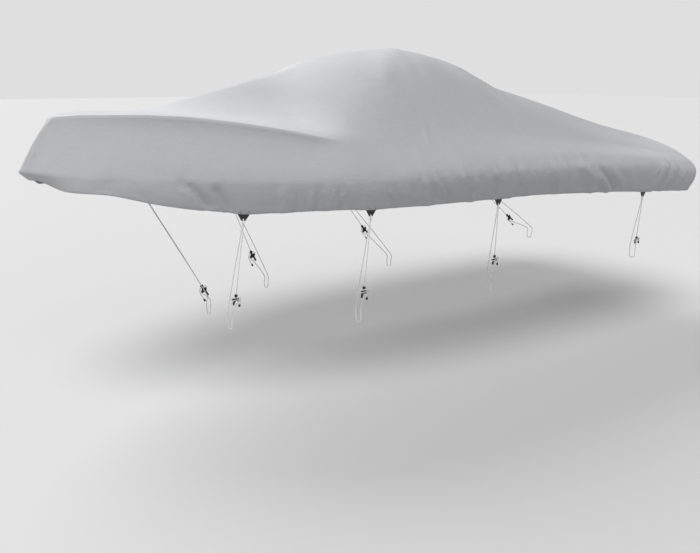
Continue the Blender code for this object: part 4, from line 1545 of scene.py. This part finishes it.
@dataclass
class TieDown:
    """One tie: its tab, its knot, its two runs of cord, its cleat and its bell end."""

    form: CoverForm
    tie: Tie
    side: Side
    number: int
    tab_width: float = 0.074         # at the hem
    tab_tip: float = 0.026           # its width at its tip
    tab_drop: float = 0.040          # from its bend down to its tip
    tab_lap: float = 0.022           # of it lies behind the hem
    tab_bend: float = 0.002          # of its bend below the hem's edge
    tab_thickness: float = 0.002
    eyelet_rise: float = 0.0085      # of the eyelet's middle above the tab's tip
    eyelet_radius: float = 0.0042
    eyelet_rim: float = 0.0072
    eyelet_roll: float = 0.0006      # of its rounded edges
    eyelet_lip: float = 0.0004       # from its radius out to its highest ring
    eyelet_crown: float = 0.0009     # height of that ring over the tab
    eyelet_sides: int = 20
    knot: tuple[float, float, float] = (0.012, 0.0085, 0.0075)     # half its size each way
    knot_steps: int = 64
    trefoil_reach: float = 2.6       # of the knot's plain curve, from its middle
    loop_depth: float = 0.0046       # half the loop's, through the tab
    loop_sway: float = 0.0015
    cord: float = 0.006              # diameter
    cord_pitch: float = 0.0075       # from run to run where they leave the knot
    cord_sides: int = 12
    short_step: float = 0.05         # between points of the short run
    long_step: float = 0.007
    most_steps: int = 8              # between two of the points that a run passes through
    rail_width: float = 0.050
    rail_height: float = 0.090
    rail_start: float = 1.15         # how high beside it the run begins, in its heights
    rail_middle: float = 0.45        # how high the points are that keep the run upright
    cleat_thickness: float = 0.010
    cleat_edge: float = 0.0022       # radius of its rounded edges
    head_radius: float = 0.011
    head_rise: float = 0.033         # of the head's middle above the cleat's
    head_arc: tuple[float, float] = (math.radians(-55), math.radians(235))
    head_steps: int = 16
    # The bell's radius, and how far down it has that
    bell: tuple[tuple[float, float], ...] = (
        (0.0, 0.0), (0.0042, 0.0), (0.0050, 0.0008), (0.0062, 0.0050), (0.0074, 0.0100),
        (0.0080, 0.0140), (0.0080, 0.0155), (0.0072, 0.0190), (0.0064, 0.0200), (0.0, 0.0200))
    bell_steps: int = 24
    finishes: dict[Slot, bpy.types.Material] = field(default_factory=dict)

    def __post_init__(self) -> None:
        """Work out where the tie's pieces are."""
        middle, (self.hem_along, self.hem_up, out) = self.form.hem_frame(self.tie, self.side)
        self.bend = middle - out * (self.form.cloth + GAP) - self.hem_up * self.tab_bend
        self.facing = self.hem_along.cross(Vector((0, 0, 1))).normalized()
        self.hanging = self.facing.cross(self.hem_along)
        self.tip = self.bend - self.hanging * self.tab_drop
        tab_ways = (self.hem_along, self.hanging, self.facing)
        tip_middle = self.tip - self.facing * self.tab_thickness / 2
        self.knot_centre = tip_middle - self.hanging * (self.knot[1] + GAP)
        self.up = (self.knot_centre - self.placed(self.tie.rail)).normalized()
        along = Vector((-self.side.value, 0, 0))
        self.along = (along - self.up * along.dot(self.up)).normalized()
        self.out = self.along.cross(self.up)
        reach = Vector([half * self.up.dot(way) for half, way in zip(self.knot, tab_ways)])
        self.foot = self.knot_centre - self.up * (reach.length + GAP)
        self.cleat = self.placed(self.tie.head) - self.up * self.head_rise

    @property
    def tag(self) -> str:
        """The end of the names of the tie's pieces."""
        return f"{self.side.label}_{self.number}"

    def placed(self, point: Sequence[float]) -> Vector:
        """A place given by its height above the ground, on the tie's side."""
        x, y, height = point
        return Vector((x, self.side.value * y, height - self.form.peak_height))

    def rail_turn(self) -> list[Vector]:
        """The long run's way round the trailer's rail: down inside, under, up outside."""
        x, y, height = self.tie.rail
        away = self.cord / 2
        inner, outer = y - self.rail_width - away, y + away
        return [self.placed(point) for point in (
            (x, inner, height + self.rail_height * self.rail_start),
            (x, inner, height + self.rail_height * self.rail_middle),
            (x, inner + away * 2, height + away),
            (x, y - self.rail_width / 2, height - away),
            (x, outer - away * 2, height + away),
            (x, outer, height + self.rail_height * self.rail_middle),
            (x, outer, height + self.rail_height),
        )]

    def short_route(self) -> list[Vector]:
        """The short run, from the knot to the cleat's head."""
        head = self.cleat + self.up * (self.head_rise + self.head_radius + GAP)
        start = self.foot + self.along * self.cord_pitch / 2
        return catmull_rom([start, head], self.short_step, self.most_steps)

    def long_route(self) -> list[Vector]:
        """The long run, from the knot round the rail and the cleat to its free end."""
        turns = [self.cleat + self.along * a + self.up * u + self.out * o
                 for a, u, o in CLEAT_TURNS]
        start = self.foot - self.along * self.cord_pitch / 2
        return catmull_rom([start, *self.rail_turn(), *turns], self.long_step, self.most_steps)

    def build_cords(self) -> None:
        material = self.finishes[Slot.CORD]
        cleat, bell = self.build_cleat(), self.build_bell()
        for kind, route, fitting in (("short", self.short_route(), cleat),
                                     ("long", self.long_route(), bell)):
            mesh = bmesh.new()
            add_tube(mesh, route, self.cord / 2, self.cord_sides)
            bmesh.ops.recalc_face_normals(mesh, faces=mesh.faces)
            piece = add_piece(f"{kind}_cord_{self.tag}", mesh, material, Slot.CORD)
            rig.replaces(piece, f"{kind}_tie_{self.tag}")
            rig.cord(piece, exit=route[0], length=round(reaches(route)[-1], 3),
                    diameter=self.cord, far_end="fitting", stiffness="limp", lay="taut",
                    path=route, with_pieces=[fitting])

    def build_cleat(self) -> bpy.types.Object:
        """Make the cleat: an eye for the short run over a slanted bar, with rounded edges."""
        start, end = self.head_arc
        arc = [start + (end - start) * i / self.head_steps for i in range(self.head_steps + 1)]
        head = [(self.head_radius * math.cos(a), self.head_rise + self.head_radius * math.sin(a))
                for a in arc]
        edge = [*head, *reversed(CLEAT_BAR)]
        mesh = bmesh.new()
        half = self.cleat_thickness / 2
        ring = [mesh.verts.new((x, y, -half)) for x, y in edge]
        base = mesh.faces.new(ring)
        made = bmesh.ops.extrude_face_region(mesh, geom=[base])["geom"]
        top = [item for item in made if isinstance(item, bmesh.types.BMVert)]
        bmesh.ops.translate(mesh, verts=top, vec=(0, 0, self.cleat_thickness))
        bmesh.ops.recalc_face_normals(mesh, faces=mesh.faces)
        rims = [e for e in mesh.edges if abs(e.verts[0].co.z - e.verts[1].co.z) < MERGE]
        bmesh.ops.bevel(mesh, geom=rims, offset=self.cleat_edge, offset_type="OFFSET",
                        affect="EDGES", segments=3, profile=0.5, material=-1,
                        clamp_overlap=True)
        bmesh.ops.transform(mesh, matrix=placing(self.cleat, (self.along, self.up, self.out)),
                            verts=mesh.verts)
        bmesh.ops.recalc_face_normals(mesh, faces=mesh.faces)
        piece = add_piece(f"moulded_cleat_{self.tag}", mesh, self.finishes[Slot.PLASTIC],
                          Slot.PLASTIC)
        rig.replaces(piece, f"cleat_{self.tag}")
        return piece

    def build_bell(self) -> bpy.types.Object:
        """Make the bell that hides the cut of the cord."""
        route = self.long_route()
        down = (route[-1] - route[-2]).normalized()
        turn = (-down).to_track_quat("Z", "Y").to_matrix().to_4x4()
        mesh = turned([(radius, -drop) for radius, drop in self.bell], self.bell_steps)
        bmesh.ops.transform(mesh, matrix=Matrix.Translation(route[-1] + down * GAP) @ turn,
                            verts=mesh.verts)
        piece = add_piece(f"bell_end_{self.tag}", mesh, self.finishes[Slot.PLASTIC],
                          Slot.PLASTIC)
        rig.replaces(piece, f"cord_end_{self.tag}")
        return piece

    def build_knot(self) -> None:
        """Make the knot at the tab's tip, and the loop of cord through the tab's eyelet."""
        radius = self.cord / 2
        width, height, depth = (half - radius for half in self.knot)
        core = []
        for i in range(self.knot_steps):
            t = 2 * math.pi * i / self.knot_steps
            across = (math.sin(t) + 2 * math.sin(2 * t)) / self.trefoil_reach
            rise = (math.cos(t) - 2 * math.cos(2 * t)) / self.trefoil_reach
            core.append(Vector((width * across, height * rise, -depth * math.sin(3 * t))))
        middle = (self.knot[1] + self.eyelet_rise) / 2
        loop = []
        for i in range(self.knot_steps // 2):
            t = 4 * math.pi * i / self.knot_steps
            loop.append(Vector((self.loop_sway * math.sin(2 * t), middle * (1 - math.cos(t)),
                                self.loop_depth * math.sin(t))))
        mesh = bmesh.new()
        add_tube(mesh, core, radius, self.cord_sides, closed=True)
        add_tube(mesh, loop, radius, self.cord_sides, closed=True)
        bmesh.ops.transform(
            mesh, verts=mesh.verts,
            matrix=placing(self.knot_centre, (self.hem_along, self.hanging, self.facing)))
        bmesh.ops.recalc_face_normals(mesh, faces=mesh.faces)
        piece = add_piece(f"hitch_{self.tag}", mesh, self.finishes[Slot.CORD], Slot.CORD)
        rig.replaces(piece, f"knot_{self.tag}")

    def build_tab(self) -> None:
        """Make the webbing tab, cut round its eyelet and bent where it leaves the hem."""
        mesh = bmesh.new()
        half, tip = self.tab_width / 2, self.tab_tip / 2
        outline = ((-tip, -self.tab_drop), (tip, -self.tab_drop), (half, 0.0), (-half, 0.0))
        ring = [mesh.verts.new((x, y, 0.0)) for x, y in outline]
        rims = [mesh.edges.new((a, b)) for a, b in zip(ring, ring[1:] + ring[:1])]
        fold = rims[2]
        eye = bmesh.ops.create_circle(mesh, segments=self.eyelet_sides,
                                      radius=self.eyelet_radius)["verts"]
        bmesh.ops.translate(mesh, verts=eye, vec=(0, self.eyelet_rise - self.tab_drop, 0))
        inner = list({edge for vert in eye for edge in vert.link_edges})
        bmesh.ops.triangle_fill(mesh, edges=rims + inner, use_beauty=True)
        lap = bmesh.ops.extrude_edge_only(mesh, edges=[fold])["geom"]
        top = [item for item in lap if isinstance(item, bmesh.types.BMVert)]
        bmesh.ops.translate(mesh, verts=top, vec=(0, self.tab_bend + self.tab_lap, 0))
        uv = mesh.loops.layers.uv.verify()
        for face in mesh.faces:
            for loop in face.loops:
                loop[uv].uv = loop.vert.co.xy
        bmesh.ops.recalc_face_normals(mesh, faces=mesh.faces)
        if next(iter(mesh.faces)).normal.z < 0:
            bmesh.ops.reverse_faces(mesh, faces=mesh.faces)
        for vert in mesh.verts:
            x, y, _ = vert.co
            way = self.hem_up if y > 0 else self.hanging
            vert.co = self.bend + self.hem_along * x + way * y
        piece = add_piece(f"webbing_tab_{self.tag}", mesh, self.finishes[Slot.WEBBING],
                          Slot.WEBBING, smooth=False)
        thicken(piece, "Webbing", self.tab_thickness)
        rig.replaces(piece, f"tab_{self.tag}")
        self.build_eyelet()

    def build_eyelet(self) -> None:
        """Make the eyelet's two rolled rims, one on each face of the tab."""
        thick, roll, crown = self.tab_thickness, self.eyelet_roll, self.eyelet_crown
        hole, lip = self.eyelet_radius - roll, self.eyelet_radius + self.eyelet_lip
        rim, edge = self.eyelet_rim, self.eyelet_rim - roll
        profile = ((hole, -thick / 2), (hole, 0.0), (lip, crown), (edge, roll), (rim, 0.0),
                   (rim, -thick), (edge, -thick - roll), (lip, -thick - crown), (hole, -thick))
        mesh = turned(profile, self.eyelet_sides, closed=True)
        centre = self.tip + self.hanging * self.eyelet_rise
        ways = (self.hem_along, self.hanging, self.facing)
        bmesh.ops.transform(mesh, matrix=placing(centre, ways), verts=mesh.verts)
        add_piece(f"eyelet_{self.tag}", mesh, self.finishes[Slot.PLASTIC], Slot.PLASTIC)


# ---------------------------------------------------------------- the studio

@dataclass
class Studio:
    """The camera, the floor and the light."""

    floor_height: float
    eye: tuple[float, float, float] = (4.105, 5.076, -0.204)
    tilt: float = math.radians(90 - 13.35)       # it looks 13.35 degrees down
    heading: float = math.radians(143.04)        # and is turned so far about Z
    focal: float = 838.0             # in pixels of the frame
    frame_width: float = 700.0
    sensor: float = 36.0
    floor_size: float = 160.0
    sky: float = 0.24                # strength of the light from all round
    backdrop: float = 0.74           # its brightness where it is seen
    # The lamps' names, the ways that they shine from, and their strengths
    lamps: tuple[tuple[str, tuple[float, float, float], float], ...] = (
        ("bow_light", (0.43, 0.25, 0.87), 2.42),
        ("port_light", (0.00, 0.82, 0.57), 0.42),
        ("starboard_light", (0.00, -0.82, 0.57), 3.00),
    )
    lamp_spread: float = math.radians(40)        # the angle that a lamp fills

    def add_camera(self) -> None:
        """Make the camera and make it the scene's."""
        data = bpy.data.cameras.new("camera")
        data.sensor_width = self.sensor
        data.lens = self.focal / self.frame_width * self.sensor
        camera = bpy.data.objects.new("camera", data)
        camera.location = self.eye
        camera.rotation_euler = (self.tilt, 0.0, self.heading)
        bpy.context.scene.collection.objects.link(camera)
        bpy.context.scene.camera = camera

    def add_lamp(self, name: str, way: Sequence[float], strength: float) -> None:
        """Make a soft light that comes from far off.

        Args:
            name: The light's name.
            way: The direction that it comes from.
            strength: Its strength.
        """
        data = bpy.data.lights.new(name, "SUN")
        data.energy, data.angle = strength, self.lamp_spread
        lamp = bpy.data.objects.new(name, data)
        lamp.rotation_euler = Vector(way).to_track_quat("Z", "Y").to_euler()
        bpy.context.scene.collection.objects.link(lamp)

    def build(self) -> None:
        """Make the floor, the sky and the lights."""
        mesh = bmesh.new()
        bmesh.ops.create_grid(mesh, x_segments=2, y_segments=2, size=self.floor_size / 2)
        bmesh.ops.translate(mesh, verts=mesh.verts, vec=(0, 0, self.floor_height))
        add_piece("floor", mesh, FloorFinish().build(), None, smooth=False)
        world = bpy.data.worlds.new("sky")
        world.use_nodes = True
        nodes, links = world.node_tree.nodes, world.node_tree.links
        light = nodes["Background"]
        light.inputs["Color"].default_value = (1, 1, 1, 1)
        light.inputs["Strength"].default_value = self.sky
        seen = nodes.new("ShaderNodeBackground")
        seen.inputs["Color"].default_value = (1, 1, 1, 1)
        seen.inputs["Strength"].default_value = self.backdrop
        mix = nodes.new("ShaderNodeMixShader")
        links.new(nodes.new("ShaderNodeLightPath").outputs["Is Camera Ray"], mix.inputs[0])
        links.new(light.outputs[0], mix.inputs[1])
        links.new(seen.outputs[0], mix.inputs[2])
        links.new(mix.outputs[0], nodes["World Output"].inputs["Surface"])
        bpy.context.scene.world = world
        for name, way, strength in self.lamps:
            self.add_lamp(name, way, strength)
        bpy.context.scene.view_settings.view_transform = "Standard"


def write_size(path: str = "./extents.json") -> None:
    """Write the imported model's box and the dressed model's box as plain lists."""
    boxes = {"cad": CAD_BOX, "visual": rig.bounds()}
    plain = {name: [[float(c) for c in corner] for corner in box] for name, box in boxes.items()}
    with open(path, "w", encoding="utf-8") as file:
        json.dump(plain, file, indent=1)


def main() -> None:
    """Build the cover and its ties in the studio."""
    logging.basicConfig(level=logging.INFO, format="%(name)s %(message)s")
    form = CoverForm()
    studio = Studio(floor_height=-form.peak_height)
    studio.add_camera()
    finishes = {Slot.CLOTH: ClothFinish().build(), Slot.WEBBING: WebbingFinish().build(),
                Slot.CORD: CordFinish().build(), Slot.PLASTIC: PlasticFinish().build()}
    ties = [TieDown(form, tie, side, number, finishes=finishes)
            for side in Side for number, tie in enumerate(TIES[side], start=1)]
    for tie in ties:
        tie.build_cords()
    for tie in ties:
        tie.build_knot()
        tie.build_tab()
    cover = Cover(form)
    cloth = cover.build(finishes[Slot.CLOTH])
    thread = ThreadFinish().build()
    cover.build_seams(thread)
    cover.build_tacks(thread)
    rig.sheet(cloth, flat=cover.flat, held="draped", area=cover.flat_area)
    studio.build()
    write_size()


if __name__ == "__main__":
    main()
